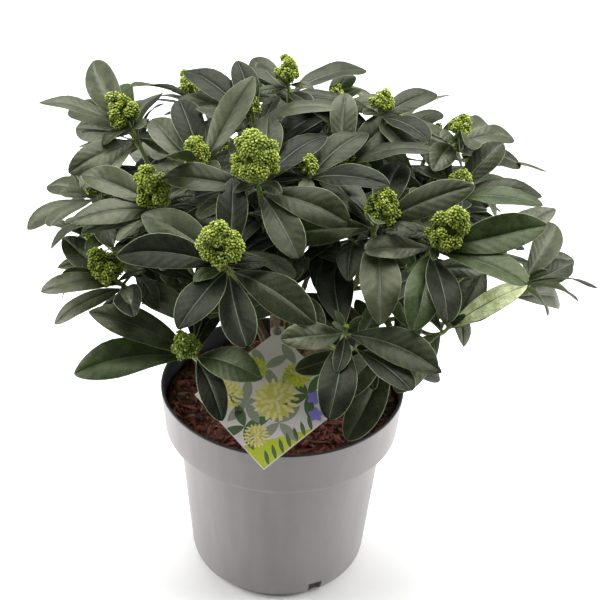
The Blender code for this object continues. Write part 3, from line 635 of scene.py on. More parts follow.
CARD_GREY, CARD_SHADE, CARD_LEAF, CARD_LIME, CARD_VIOLET, CARD_STRAW, CARD_OLIVE = range(7)
CARD_TONES = {
    "grey": (0.80, 0.74, 0.77),
    "shade": (0.34, 0.36, 0.30),
    "leaf": (0.10, 0.17, 0.075),
    "lime": (0.58, 0.66, 0.05),
    "violet": (0.31, 0.26, 0.84),
    "straw": (0.90, 0.82, 0.40),
    "olive": (0.76, 0.69, 0.18),
}


# Growth, repeated from the source


class Path:
    """A quadratic curve through space, from a start, past a shoulder, to an end."""

    def __init__(self, start, shoulder, end):
        self.start = start
        self.shoulder = shoulder
        self.end = end

    def at(self, t):
        return (1 - t) ** 2 * self.start + 2 * t * (1 - t) * self.shoulder + t * t * self.end


def line_along(path, first, last, steps):
    """Points along part of a path, as the centre line of a limb."""
    return [path.at(first + (last - first) * i / steps) for i in range(steps + 1)]


def back_along(line, distance):
    """The point at a distance back from the end of a centre line."""
    for end, before in zip(line[::-1], line[-2::-1]):
        span = (end - before).length
        if distance <= span:
            return end.lerp(before, distance / span)
        distance -= span
    return line[0]


def cross_axes(ahead):
    """Two unit vectors square to a heading."""
    side = ahead.cross(Vector((0.31, 0.17, 0.93))).normalized()
    return side, side.cross(ahead)


def trunk_radius(share):
    """Radius of the stem foot without its root flare, at a share of its height."""
    return TRUNK_FOOT_RADIUS + share * (TRUNK_TOP_RADIUS - TRUNK_FOOT_RADIUS)


def trunk_top():
    return TRUNK_FOOT + TRUNK_LEAN + UP * TRUNK_HEIGHT


def shoot_axis(place):
    """The way a shoot points: up, and leaning out with its distance from the middle."""
    out = Vector((place.x - CROWN_CENTRE.x, place.y - CROWN_CENTRE.y, 0))
    return (UP + out * 3.2).normalized()


class Shoot:
    """A leafy end: its flower head, the point below where its twig ends, and its blades' facing."""

    def __init__(self, place, head, leaves, more, seed):
        self.place = Vector(place) * CM
        self.head = (head[0] * CM / 2, head[1] * CM / 2)
        self.leaves = leaves
        self.more = more
        self.seed = seed
        self.axis = shoot_axis(self.place)
        lean = min(self.axis.y, 0) - FRONT_LEAN if leaves else self.axis.y
        self.facing = Vector((self.axis.x, lean, self.axis.z)).normalized()
        self.whorl = self.place - self.axis * (self.head[1] + 0.002)


class Mass:
    """A mass of foliage: its shoots, its hub, and the path of its bough and stem."""

    def __init__(self, name, shoots):
        self.name = name
        self.shoots = shoots
        middle = sum((shoot.whorl for shoot in shoots), Vector()) / len(shoots)
        self.hub = trunk_top().lerp(middle, HUB_SHARE) + HUB_SHIFTS.get(name, Vector())
        side = "left" if self.hub.x < -0.005 else "right"
        self.group = "back" if name.startswith("foliage_back") else side


def all_masses():
    masses = []
    seed = 0
    for name, rows in FRONT_SHOOTS.items():
        shoots = []
        for place, head, leaves, more in rows:
            seed += 1
            shoots.append(Shoot(place, head, leaves, more, seed))
        masses.append(Mass(name, shoots))
    back = {}
    for name, radius, height, first, last, count in BACK_ARCS:
        for i in range(count):
            seed += 1
            rng = random.Random(seed)
            bearing = math.radians(first + (last - first) * i / (count - 1))
            place = ARC_CENTRE + radius * direction(bearing, 0)
            place.z = height + rng.uniform(-1.2, 1.2)
            shoot = Shoot(place, BACK_HEAD, (), BACK_LEAVES, seed)
            back.setdefault(name, []).append(shoot)
    masses += [Mass(name, shoots) for name, shoots in back.items()]
    return masses


def bough_starts(masses):
    """Sets each bough's start: low masses on the stem's side, high ones on its top."""
    top = trunk_top()

    def bearing_of(mass):
        return math.atan2(mass.hub.y - top.y, mass.hub.x - top.x)

    order = sorted(masses, key=lambda mass: mass.hub.z)
    side_count = (len(order) + 1) // 2
    for group, on_top in ((order[:side_count], False), (order[side_count:], True)):
        group = sorted(group, key=bearing_of)
        step = TURN / len(group)
        offsets = [bearing_of(mass) - i * step for i, mass in enumerate(group)]
        turn = sum(offsets) / len(offsets)
        for i, mass in enumerate(group):
            out = direction(turn + i * step, 0)
            if on_top:
                start = top + out * (TRUNK_TOP_RADIUS - BOUGH_RADIUS) + UP * CLEAR
                mass.inward = -UP
            else:
                share = SIDE_RISE / TRUNK_HEIGHT
                foot = TRUNK_FOOT + UP * SIDE_RISE + TRUNK_LEAN * share
                start = foot + out * (trunk_radius(TRUNK_FLARE_SHARE) + CLEAR)
                mass.inward = -out
            outward = 0.30 if on_top else 0.42
            level = Vector((mass.hub.x - start.x, mass.hub.y - start.y, 0))
            shoulder = start + level * outward
            if not on_top:
                shoulder += out * SIDE_SPREAD
            shoulder.z += min(SHOULDER_RISE, (mass.hub.z - start.z) * 0.8)
            mass.path = Path(start, shoulder, mass.hub)


def twig_path(mass, shoot):
    """A shoot's twig, which bends from the hub into the shoot's own way."""
    span = (shoot.whorl - mass.hub).length
    return Path(mass.hub, shoot.whorl - shoot.axis * span * 0.45, shoot.place)


def leaf_plan(shoot):
    """The leaves of a shoot, highest first: (bearing, rise, length, twist)."""
    rng = random.Random(shoot.seed * 31 + 5)
    plan = []
    for bearing, rise, size, *twist in shoot.leaves:
        plan.append((bearing, rise, size, twist[0] if twist else rng.uniform(-8, 8)))
    bearings = [row[0] for row in plan] or [rng.uniform(0, 360)]
    for i in range(shoot.more):
        ordered = sorted(bearings)
        gaps = [(b - a, a) for a, b in zip(ordered, ordered[1:] + [ordered[0] + 360])]
        widest, begin = max(gaps)
        bearing = (begin + widest / 2 + rng.uniform(-9, 9)) % 360
        bearings.append(bearing)
        rise = 30 - 42 * (i + 0.5) / shoot.more + rng.uniform(-7, 7)
        plan.append((bearing, rise, rng.uniform(6.6, 8.8), rng.uniform(-16, 16)))
    plan.sort(key=lambda row: -row[1])
    return plan


def leaf_rows(mass):
    """The leaves of a mass: shoot, root on the twig's centre line, and the planned row."""
    rows = []
    for shoot in mass.shoots:
        line = line_along(twig_path(mass, shoot), 0.0, 1.0, TWIG_STEPS)
        depth = (shoot.place - shoot.whorl).length
        for row in leaf_plan(shoot):
            depth += LEAF_SPACING
            rows.append((shoot, back_along(line, depth), row))
        rng = random.Random(shoot.seed * 17 + 11)
        bearing = rng.uniform(0, 360)
        for _ in range(min(LOWER_LEAVES, shoot.more)):
            depth += rng.uniform(*LOWER_SPACING)
            bearing += GOLDEN_TURN
            size = rng.uniform(6.8, 9.0)
            row = (bearing % 360, rng.uniform(*LOWER_RISE), size, rng.uniform(-16, 16))
            rows.append((shoot, back_along(line, depth), row))
    return rows


def grown_leaf(tips, root, row):
    """The choice of turn, lift and size whose tip stands in the frame's mass, or None."""
    bearing, rise, length, twist = row
    for turn, lift, size in CHOICES:
        rise_tried = math.radians(max(-80, min(85, rise + lift)))
        shape = (math.radians(bearing + turn), rise_tried, length * size * CM, math.radians(twist))
        if tips.find(root + direction(*shape[:2]) * shape[2])[2] < TIP_NEAR:
            return shape
    return None


def points_of(node):
    """The points of a node of the frame, for a search of the nearest."""
    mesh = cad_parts[node].data
    tree = KDTree(len(mesh.vertices))
    for i, vertex in enumerate(mesh.vertices):
        tree.insert(vertex.co, i)
    tree.balance()
    return tree


# Leaves


def outline(share, tip):
    """The half width of a blade along its length, as a share of its widest.

    The smaller the power of its tip, the blunter it ends.
    """
    t = np.clip((share - BLADE_START) / (1 - BLADE_START), 0, 1)
    peak = OUTLINE_BASE / (OUTLINE_BASE + tip)
    return (t / peak) ** OUTLINE_BASE * ((1 - t) / (1 - peak)) ** tip


def smooth_step(value, low, high):
    t = np.clip((value - low) / (high - low), 0, 1)
    return t * t * (3 - 2 * t)


# A ring round a blade: its points on the upper side, those by the rib, the strips between them
# (edge, top, rib, under or stalk), and how many of these are cut like the upper side
RING_SIZE = 18
UPPER_SIDE = np.array([0] + [1] * 9 + [0] + [-1] * 7)
RIB_PLACES = np.array([0] * 4 + [0, 1, 0] + [0] * 6 + [0, 1, 0] + [0] * 2)
STRIPS = "etttrrttteeuussuue"
TOP_STRIPS = 10


def leaf_faces():
    """The faces of one leaf and, for each, the kind of its surface.

    Both sides are cut along the same diagonals, so that a rippled blade stays closed.
    """
    faces = []
    kinds = ""
    last = len(STATIONS) - 1
    for i in range(last + 1):
        for j in range(RING_SIZE):
            a, b = i * RING_SIZE + j, i * RING_SIZE + (j + 1) % RING_SIZE
            c, d = b + RING_SIZE, a + RING_SIZE
            if i == last:
                made = [(a, b, RING_SIZE * (last + 1))]
            elif j < TOP_STRIPS:
                made = [(a, b, c), (a, c, d)]
            else:
                made = [(a, b, d), (b, c, d)]
            faces += made
            kinds += ("s" if STATIONS[i] < PETIOLE_SHARE else STRIPS[j]) * len(made)
    faces.append(tuple(reversed(range(RING_SIZE))))
    return faces, kinds + "s"


LEAF_FACES, LEAF_KINDS = leaf_faces()


def leaf_kind_looks(upper):
    """The look of each face of a leaf whose blade has the given one."""
    looks = {"e": LOOK_MARGIN, "t": upper, "r": LOOK_RIB, "u": LOOK_UNDER, "s": LOOK_STALK}
    return [looks[kind] for kind in LEAF_KINDS]


UPPER_LOOKS = {upper: leaf_kind_looks(upper) for upper in (*range(5), LOOK_PALE_HIGHLIGHT)}


def leaf_points(root, facing, shape, rng, width=LEAF_WIDTH_SHARE, near=None):
    """The points of a leaf, and where each lies on its blade.

    With a near point the leaf starts there instead, and its tip stays where it is.
    """
    bearing, rise, length, twist = shape
    ahead = direction(bearing, rise)
    if near:
        span = root + ahead * length - near
        root, length = near, span.length
        ahead = span.normalized()
    side = ahead.cross(facing).normalized()
    side = mix(twist, side, side.cross(ahead))
    lift = side.cross(ahead)
    share = STATIONS[:, None]
    thin = min(1.0, length / 0.05)
    width *= rng.uniform(0.86, 1.0) * min(1.0, math.sqrt(0.082 / length))
    blade = length * width / 2 * outline(share, rng.uniform(*OUTLINE_TIP))
    half = np.maximum(blade, PETIOLE_HALF * thin * (1 - 0.5 * share))

    # Across: shares of the half width, round the upper side and back along the underside
    edge = np.minimum(MARGIN_WIDTH * thin / half, 0.35)
    rib = np.minimum((0.00045 * (1 - share) + 0.00016) * thin / half, 0.22)
    ones = np.ones_like(share)
    right = [1 - edge, SIDE_PLACES[0] * ones, SIDE_PLACES[1] * ones, rib]
    over = [-ones, *[-u for u in right], 0 * ones, *right[::-1], ones]
    below = [1 - edge, UNDER_PLACE * ones, rib, 0 * ones, -rib, -UNDER_PLACE * ones, edge - 1]
    u = np.hstack(over + below)

    # Height: the fold along the rib, the curl of the sides, ripples, the thickness, the rib
    bladed = smooth_step(share, 0.03, 0.16)
    fold = rng.uniform(*FOLD)
    curl = rng.uniform(*CURL)
    x = u * half
    z = half * bladed * (fold * np.abs(u) - curl * u * u)
    phase = rng.uniform(0, TURN)
    lean = np.sin(TURN * rng.uniform(*RIPPLES) * share + phase) * rng.uniform(*RIPPLE_DEPTH)
    z = z + half * bladed * lean * u * np.abs(u)
    thick = BLADE_THICKNESS + 0.0012 * thin * np.exp(-((share / 0.07) ** 2))
    z = z + UPPER_SIDE * thick / 2 * np.sqrt(np.clip(1 - u * u, 0, 1))
    groove = np.where(UPPER_SIDE > 0, 0.00035, 0.00055 * (1 - 0.7 * share)) * thin * bladed
    z = z - RIB_PLACES * groove

    # Along: the blade turns, arches, droops at its tip and bends to a side
    turn = rng.uniform(-BLADE_TURN, BLADE_TURN) * (share - 0.35)
    x, z = x * np.cos(turn) - z * np.sin(turn), x * np.sin(turn) + z * np.cos(turn)
    arch = LEAF_ARCH * rng.uniform(*ARCH_SPREAD)
    droop = rng.uniform(*DROOP)
    z = z + length * (arch * 4 * share * (1 - share) - droop * smooth_step(share, 0.7, 1.05))
    x = x + length * rng.uniform(-BLADE_BEND, BLADE_BEND) * 4 * share * (1 - share)
    along = np.broadcast_to(length * share, x.shape)
    places = np.stack([(u + 1) / 2, np.broadcast_to(share, u.shape)], axis=-1).reshape(-1, 2)
    flat = np.stack([x, along, z], axis=-1).reshape(-1, 3)
    flat = np.vstack([flat, [0, length, -droop * length * 0.93]])
    places = np.vstack([places, [0.5, 1.0]])
    return (flat @ np.array([side, ahead, lift]) + np.array(root)).tolist(), places.tolist()


def upper_look(rng, spray):
    """The look of one blade: mostly its spray's tone with its painted shade, now and then another.
    """
    if rng.random() < 0.60:
        return spray
    return rng.choice((LOOK_BLACK, LOOK_BLACK, LOOK_DARK, LOOK_DARK, LOOK_MID, LOOK_MID, LOOK_GREY,
                       LOOK_GREEN))


# Flower heads


def bud_shape():
    """A closed round bud: its points, for a radius of one, and its faces."""
    rings = [[(0.0, 0.0, -1.0)]]
    for height, radius, phase in ((-0.25, 1.0, 0.0), (0.62, 0.72, 0.5)):
        turns = [TURN * (i + phase) / 5 for i in range(5)]
        rings.append([(radius * math.cos(turn), radius * math.sin(turn), height) for turn in turns])
    points, faces = skin([*rings, [(0.0, 0.0, 0.95)]])
    return np.array(points), faces


BUD_POINTS, BUD_FACES = bud_shape()


def turned_axes(ahead, spin):
    """Three axes as rows: two across a heading, turned by a spin, then the heading."""
    across = mix(spin, *cross_axes(ahead))
    return np.array([across, ahead.cross(across), ahead])


def turned_frame(ahead, spin):
    """The same axes as the columns of a matrix."""
    return Matrix(turned_axes(ahead, spin).tolist()).transposed()


def add_bud(gather, centre, ahead, radius, look, rng):
    axes = turned_axes(ahead, rng.uniform(0, math.pi))
    shape = BUD_POINTS * (radius * rng.uniform(0.92, 1.08))
    gather.add(shape @ axes + np.array(centre), BUD_FACES, look)


def spread_over(count, lowest):
    """Unit directions spread evenly over a ball, from its top down to a lowest level."""
    for i in range(count):
        level = 1 - (1 - lowest) * (i + 0.5) / count
        turn = math.radians(GOLDEN_TURN) * i
        across = math.sqrt(max(0.0, 1 - level * level))
        yield Vector((across * math.cos(turn), across * math.sin(turn), level))


def head_point(shoot, way, size):
    """A point of a head, in its own axes: an uneven cone, widest low down."""
    width, height = shoot.head
    uneven = 1 + HEAD_UNEVEN * noise.noise(way * 1.7 + Vector((shoot.seed * 3.7, 0, 0)))
    taper = 1.0 - 0.42 * max(way.z, 0) + 0.16 * max(-way.z, 0)
    level = way.z * (HEAD_TOP if way.z > 0 else HEAD_FOOT) - HEAD_DROP
    return Vector((way.x * width * taper, way.y * width * taper, level * height)) * uneven * size


def add_head(gather, shoot, tone, rng):
    """A head of round buds, crowded on the lobes that its short branches end in."""
    width, height = shoot.head
    axes = turned_frame(shoot.axis, rng.uniform(0, math.pi))
    ball = (width * width * height) ** (1 / 3)
    lobe = max(0.0026, ball * LOBE_SHARE)
    reach = 1 - lobe / ball

    def spot_at(way, size):
        return shoot.place + axes @ head_point(shoot, way, size)

    # A dark core inside the head: painted shade for the gaps between its lobes
    rings = [[spot_at(-UP, 0.60)]]
    for rise in (-60, -25, 15, 55):
        rings.append([spot_at(direction(math.radians(45 * k), math.radians(rise)),
                              reach * SHADE_CORE_SHARE) for k in range(8)])
    rings.append([spot_at(UP, reach * SHADE_CORE_SHARE)])
    gather.add(*skin(rings), BUD_SHADE_CORE)
    base = shoot.place - shoot.axis * height * 0.6
    lobes = []
    for way in spread_over(max(9, round(3.4 * (ball * reach / lobe) ** 2)), LOWEST_LOBE):
        way = (way + Vector([rng.uniform(-0.2, 0.2) for _ in range(3)])).normalized()
        centre = spot_at(way, reach * rng.uniform(*LOBE_REACH))
        lobes.append((centre, lobe * rng.uniform(*LOBE_SIZES)))
    for number, (centre, size) in enumerate(lobes):
        out = (centre - base).normalized()
        branch = [ring_of(base, *cross_axes(out), 0.0009, 3),
                  ring_of(centre, *cross_axes(out), 0.0006, 3)]
        gather.add(*skin(branch), BUD_STALK)
        turned_way = turned_frame(out, rng.uniform(0, math.pi))
        # A dark ball inside each lobe: painted shade between its buds
        middle = BUD_POINTS * size * LOBE_SHADE_CORE @ turned_axes(out, 0.0) + np.array(centre)
        gather.add(middle, BUD_FACES, BUD_SHADE_CORE)
        others = [other for k, other in enumerate(lobes) if k != number
                  and (other[0] - centre).length < other[1] + size]
        for way in spread_over(round(7.2 * (size / BUD_SPACING) ** 2) + 5, LOWEST_BUD):
            ahead = turned_way @ way
            spot = centre + ahead * size * rng.uniform(0.86, 1.04)
            if any((spot - other).length < radius * 0.88 for other, radius in others):
                continue
            # Buds on a lobe's outer side more often take the head's own tone, the inner ones green:
            # painted light outside and painted shade towards the head's inside; the few pale ones
            # are painted highlights
            pick = rng.random()
            look = BUD_PALE_HIGHLIGHT if pick > 0.86 else tone if pick < 0.35 + 0.4 * way.z else BUD_GREEN
            add_bud(gather, spot, ahead, BUD_RADIUS * rng.uniform(0.78, 1.15), look, rng)


def add_tip(blossom, leaves, shoot, rng):
    """A leafy end with no flowers: a few closed buds and three small upright leaves."""
    for way in spread_over(6, 0.1):
        ahead = (way + shoot.axis * 0.8).normalized()
        add_bud(blossom, shoot.place + ahead * 0.0022, ahead, BUD_RADIUS * 1.1, BUD_GREEN, rng)
    root = shoot.place - shoot.axis * 0.003
    for n in range(3):
        shape = (math.radians(rng.uniform(-25, 25) + 120 * n), math.radians(rng.uniform(35, 60)),
                 rng.uniform(*TIP_LEAF), math.radians(rng.uniform(-15, 15)))
        points, places = leaf_points(root, shoot.facing, shape, rng, TIP_WIDTH)
        leaves.add(points, LEAF_FACES, UPPER_LOOKS[LOOK_GREEN], places)


# Stems


def add_limb(gather, line, radii, sides, looks, relief, scars=()):
    """A tapering limb with the relief of its bark, and rings where leaves have stood.

    Its looks are one for its lower end and one for its upper end, with the share of its length
    where they meet.
    """
    (thick, thin), (lower, upper, change) = radii, looks
    last = len(line) - 1
    rings = []
    for i, centre in enumerate(line):
        ahead = (line[min(i + 1, last)] - line[max(i - 1, 0)]).normalized()
        axes = cross_axes(ahead)
        base = thick + (thin - thick) * i / last
        swell = sum(SCAR_SWELL * math.exp(-(((centre - scar).length / SCAR_REACH) ** 2))
                    for scar in scars)
        ring = []
        for k in range(sides):
            out = mix(TURN * k / sides, *axes)
            rough = noise.noise(centre * 90 + out * 1.7) + 0.5 * noise.noise(centre * 420 + out * 4)
            ring.append(centre + out * (base * (1 + relief * rough) + swell))
        rings.append(ring)
    points, faces = skin(rings)
    by_face = [lower if i / last < change else upper for i in range(last) for _ in range(sides)]
    gather.add(points, faces, [*by_face, lower, upper])


def add_trunk(gather):
    """The stem foot with its five root lobes, its furrowed bark and its rounded top."""
    rings = []
    for share in (0.0, 0.03, 0.06, 0.1, 0.15, 0.21, 0.28, 0.36, 0.45, 0.55, 0.65, 0.75, 0.85, 0.93,
                  0.98, 1.0):
        centre = TRUNK_FOOT + TRUNK_LEAN * share + UP * (TRUNK_HEIGHT * share)
        flare = TRUNK_FLARE * max(0, 1 - share / TRUNK_FLARE_SHARE) ** 2
        shrink = 0.0 if share < 0.9 else 0.0022 * ((share - 0.9) / 0.1) ** 2
        ring = []
        for i in range(60):
            turn = TURN * i / 60
            out = direction(turn, 0)
            radius = trunk_radius(share) + flare * (0.75 + 0.35 * math.cos(5 * turn + 0.8)) - shrink
            furrow = noise.noise(out * 5.5 + Vector((0, 0, share * 2.4)))
            furrow += 0.5 * noise.noise(out * 15 + Vector((3, 0, share * 7)))
            ring.append(centre + out * (radius + FURROW_DEPTH * furrow))
        rings.append(ring)
    gather.add(*skin([*rings, [trunk_top()]]), STEM_BROWN)


def wood(masses):
    """The stem foot and the boughs, in one piece with the bark's relief."""
    gather = Gather()
    add_trunk(gather)
    nodes = ["trunk"]
    for mass in masses:
        line = line_along(mass.path, 0.0, BOUGH_SHARE, 34)
        line.insert(0, line[0] + mass.inward * 0.0015)
        scars = [line[i] for i in range(4, 34, 5)]
        add_limb(gather, line, (BOUGH_RADIUS, BOUGH_TIP_RADIUS), 12,
                 (STEM_BROWN, STEM_BROWN, 1), 0.14, scars)
        nodes.append(mass.name.replace("foliage", "bough"))
    gather.piece("bark", STEM_LOOKS, "bark", nodes)


# Building the plant


def crown_holds(point):
    """Whether a point lies in the flat-topped dome that the crown keeps to."""
    away = point - CROWN_CENTRE
    total = sum(abs(away[i] / CROWN_REACH[i]) ** CROWN_POWER for i in range(3))
    return total <= 1


def over_label(point):
    """Whether a point lies in the space over the label, which the finer leaves leave free."""
    low, high = LABEL_SPACE
    return all(low[i] < point[i] < high[i] for i in range(3))


def deal_looks(masses):
    """Gives each shoot the look of its blades and of its buds."""
    rng = random.Random(13)
    for mass in masses:
        looks = SPRAY_TONE_AND_SHADE.get(mass.name)
        for number, shoot in enumerate(mass.shoots):
            chance = rng.choice((LOOK_MID, LOOK_MID, LOOK_DARK, LOOK_GREEN, LOOK_GREY))
            shoot.blade = looks[number] if looks else chance
            shoot.bud = BUD_GREEN if shoot.place.z < 0.30 else BUD_BRIGHT


def leaf_hull(points):
    """A coarse closed copy of a leaf, for finding out what it touches."""
    rings = [[Vector(points[i * RING_SIZE + k]) for k in (0, 5, 9, 13)] for i in (2, 6, 10, 14)]
    return skin([[Vector(points[0])], *rings, [Vector(points[-1])]])


class Grown:
    """What has grown so far, for finding a free place for another leaf."""

    def __init__(self):
        self.trees = []

    def boxed(self, points, faces):
        low = [min(p[i] for p in points) for i in range(3)]
        high = [max(p[i] for p in points) for i in range(3)]
        return low, high, BVHTree.FromPolygons(points, faces)

    def add(self, points, faces):
        self.trees.append(self.boxed(points, faces))

    def hits(self, points, faces):
        low, high, tree = self.boxed(points, faces)
        return any(all(low[i] < other_high[i] and other_low[i] < high[i] for i in range(3))
                   and tree.overlap(other) for other_low, other_high, other in self.trees)


def try_leaf(gather, grown, root, facing, rows, rng, look, width=LEAF_WIDTH_SHARE, kept_in=True):
    """Adds the first of some leaves that touches nothing and, if asked, stays in the crown."""
    for row in rows:
        bearing, rise, length, _ = row
        if kept_in and not crown_holds(root + direction(bearing, rise) * length * 1.04):
            continue
        points, places = leaf_points(root, facing, row, rng, width)
        hull = leaf_hull(points)
        beyond = [p for p in hull[0] if (p - root).length > ROOT_FREE]
        if min(p.z for p in beyond) < RIM_TOP + OVER_RIM or any(map(over_label, beyond)):
            continue
        if not grown.hits(*hull):
            gather.add(points, LEAF_FACES, UPPER_LOOKS[look], places)
            grown.add(*hull)
            return True
    return False


def listed_leaves(mass, gather, grown):
    """Adds the leaves that the source has too, and gives their roots for each shoot."""
    tips = points_of(mass.name)
    roots = {}
    for number, (shoot, root, row) in enumerate(leaf_rows(mass)):
        shape = grown_leaf(tips, root, row)
        if not shape:
            continue
        rng = random.Random(shoot.seed * 1009 + number)
        near = root.lerp(shoot.whorl, 0.62) if (root - shoot.whorl).length < 0.03 else root
        known_as = (mass.name, *row[:2])
        if known_as in TWISTS:
            shape = (*shape[:3], math.radians(TWISTS[known_as]))
        points, places = leaf_points(root, shoot.facing, shape, rng, near=near)
        # The one pale blade carries a painted highlight on its upper face
        look = LOOK_PALE_HIGHLIGHT if known_as == PALE_HIGHLIGHT_LEAF else upper_look(rng, shoot.blade)
        gather.add(points, LEAF_FACES, UPPER_LOOKS[look], places)
        grown.add(*leaf_hull(points))
        roots.setdefault(shoot.seed, []).append(root)
    return roots


def stems(mass, twigs, grown, roots):
    """Adds a mass's stem and twigs, with rings where their leaves are rooted."""
    stem = line_along(mass.path, BOUGH_SHARE - 0.02, 1.0, 14)
    add_limb(twigs, stem, (BOUGH_TIP_RADIUS, TWIG_RADIUS), 9, (STEM_BROWN, STEM_OLIVE, 0.5), 0.10)
    whole = line_along(mass.path, 0.0, 1.0, 6)
    grown.add(*skin([level_ring(p, BOUGH_RADIUS, 4) for p in whole]))
    for shoot in mass.shoots:
        line = line_along(twig_path(mass, shoot), 0.0, 1.0, 34)
        add_limb(twigs, line, (TWIG_RADIUS, TWIG_TIP_RADIUS), 9, (STEM_OLIVE, STEM_GREEN, 0.45),
                 0.08, roots.get(shoot.seed, ()))


def ends(mass, blossom, leaves, grown):
    """Adds the flower head or the leafy tip of each shoot of a mass."""
    for shoot in mass.shoots:
        rng = random.Random(shoot.seed * 71 + 9)
        if shoot.head[0] > SMALL_HEAD:
            add_head(blossom, shoot, shoot.bud, rng)
            hull = [[shoot.place + head_point(shoot, direction(k * math.pi / 3, rise), 1.05)
                     for k in range(6)] for rise in (-0.9, 0.0, 0.9)]
            grown.add(*skin(hull))
        else:
            add_tip(blossom, leaves, shoot, rng)


def further(masses, leaves, grown):
    """Adds the further leaves of the front, each where it touches nothing."""
    for number, (name, which, down, ways) in enumerate(FURTHER_LEAVES):
        mass = next(mass for mass in masses if mass.name == name)
        shoot = mass.shoots[which]
        rng = random.Random(number * 53 + 7)
        rows = [(math.radians(bearing + rng.uniform(-7, 7)),
                 math.radians(rise + rng.uniform(-7, 7)),
                 length * CM * rng.uniform(0.9, 1.0), rng.uniform(-0.5, 0.5))
                for _ in range(FURTHER_TRIES) for bearing, rise, length in ways]
        try_leaf(leaves[mass.group][0], grown, shoot.whorl - shoot.axis * down * CM, shoot.facing,
                 rows, rng, upper_look(rng, shoot.blade), kept_in=False)


def small_leaves(mass, gather, grown):
    """Adds up to four small leaves close under each flower head of a mass."""
    for shoot in mass.shoots:
        if shoot.head[0] <= SMALL_HEAD:
            continue
        rng = random.Random(shoot.seed * 29 + 3)
        first = rng.uniform(0, TURN)
        for n in range(4):
            rows = [(first + n * math.pi / 2 + rng.uniform(-0.5, 0.5), rng.uniform(-0.15, 0.5),
                     rng.uniform(*SMALL_LEAF), rng.uniform(-0.2, 0.2)) for _ in range(4)]
            look = upper_look(rng, shoot.blade)
            root = shoot.whorl + shoot.axis * rng.uniform(-0.001, 0.002)
            try_leaf(gather, grown, root, shoot.facing, rows, rng, look, SMALL_WIDTH)


def fill(mass, gather, twigs, grown, rounds):
    """Finer side twigs with a few leaves each, in the room that is left inside the crown."""
    rng = random.Random(len(mass.shoots) * 100 + mass.shoots[0].seed)
    for shoot in mass.shoots:
        path = twig_path(mass, shoot)
        for step in range(rounds):
            share = FINE_FROM + FINE_STRETCH * step / (rounds - 1)
            start = path.at(share + rng.uniform(-0.05, 0.05))
            bearing = rng.uniform(0, TURN)
            way = direction(bearing, rng.uniform(0.1, 0.9))
            end = start + way * rng.uniform(*FINE_LENGTH)
            leaves = 0
            for n in range(rounds):
                around = bearing + math.radians(GOLDEN_TURN) * n
                rows = [(around + rng.uniform(-0.4, 0.4), rng.uniform(-0.25, 0.65),
                         rng.uniform(*FINE_LEAF) * (1 - 0.06 * k), rng.uniform(-0.3, 0.3))
                        for k in range(FINE_TRIES)]
                # Leaves inside the crown mostly take the darker blades: painted shade for the
                # crown's depth
                look = rng.choice((LOOK_BLACK, LOOK_DARK, LOOK_DARK, LOOK_MID, LOOK_GREEN))
                facing = (shoot.facing + way * 0.5).normalized()
                leaves += try_leaf(gather, grown, end, facing, rows, rng, look)
            if leaves:
                line = [start.lerp(end, k / 5) for k in range(6)]
                add_limb(twigs, line, FINE_RADII, 7, (STEM_GREEN, STEM_GREEN, 1), 0.08)


def plant(masses):
    """Leaves, twigs and heads: first those of the source, then the finer ones between them."""
    deal_looks(masses)
    leaves = {}
    twigs = Gather()
    blossom = {"left": Gather(), "right": Gather(), "back": Gather()}
    grown = Grown()
    for mass in masses:
        gather, nodes = leaves.setdefault(mass.group, (Gather(), []))
        nodes.append(mass.name)
        stems(mass, twigs, grown, listed_leaves(mass, gather, grown))
        ends(mass, blossom[mass.group], gather, grown)
    further(masses, leaves, grown)
    for mass in masses:
        gather = leaves[mass.group][0]
        small_leaves(mass, gather, grown)
        if mass.name not in BARE:
            dense = mass.group == "back" or mass.name == "foliage_left_top"
            fill(mass, gather, twigs, grown, 4 if dense else 3)
    for group, (gather, nodes) in leaves.items():
        gather.piece(f"leaves_{group}", LEAF_LOOKS, "foliage", nodes)
    twigs.piece("twigs", STEM_LOOKS, "foliage")
    for group, part in blossom.items():
        part.piece(f"blossom_{group}", BUD_LOOKS, "foliage")


# Pot and soil


def turned(profile, sides):
    """Points and faces of a solid of revolution whose profile ends on the axis."""
    return skin([level_ring(UP * height, radius, sides) if radius else [UP * height]
                 for radius, height in profile])


def rounded(profile, radius_at, steps=5):
    """A profile whose named corners are rounded off by small arcs."""
    out = []
    for i, point in enumerate(profile):
        if i not in radius_at:
            out.append(point)
            continue
        here = Vector(point)
        before = Vector(profile[i - 1]) - here
        after = Vector(profile[i + 1]) - here
        reach = min(radius_at[i], before.length * 0.48, after.length * 0.48)
        arc = Path(here + before.normalized() * reach, here, here + after.normalized() * reach)
        out += [tuple(p) for p in line_along(arc, 0.0, 1.0, steps)]
    return out


def body_radius(height):
    share = (height - FOOT_CORNER) / (COLLAR_BOTTOM - FOOT_CORNER)
    return BODY_FOOT_RADIUS + share * (BODY_TOP_RADIUS - BODY_FOOT_RADIUS)


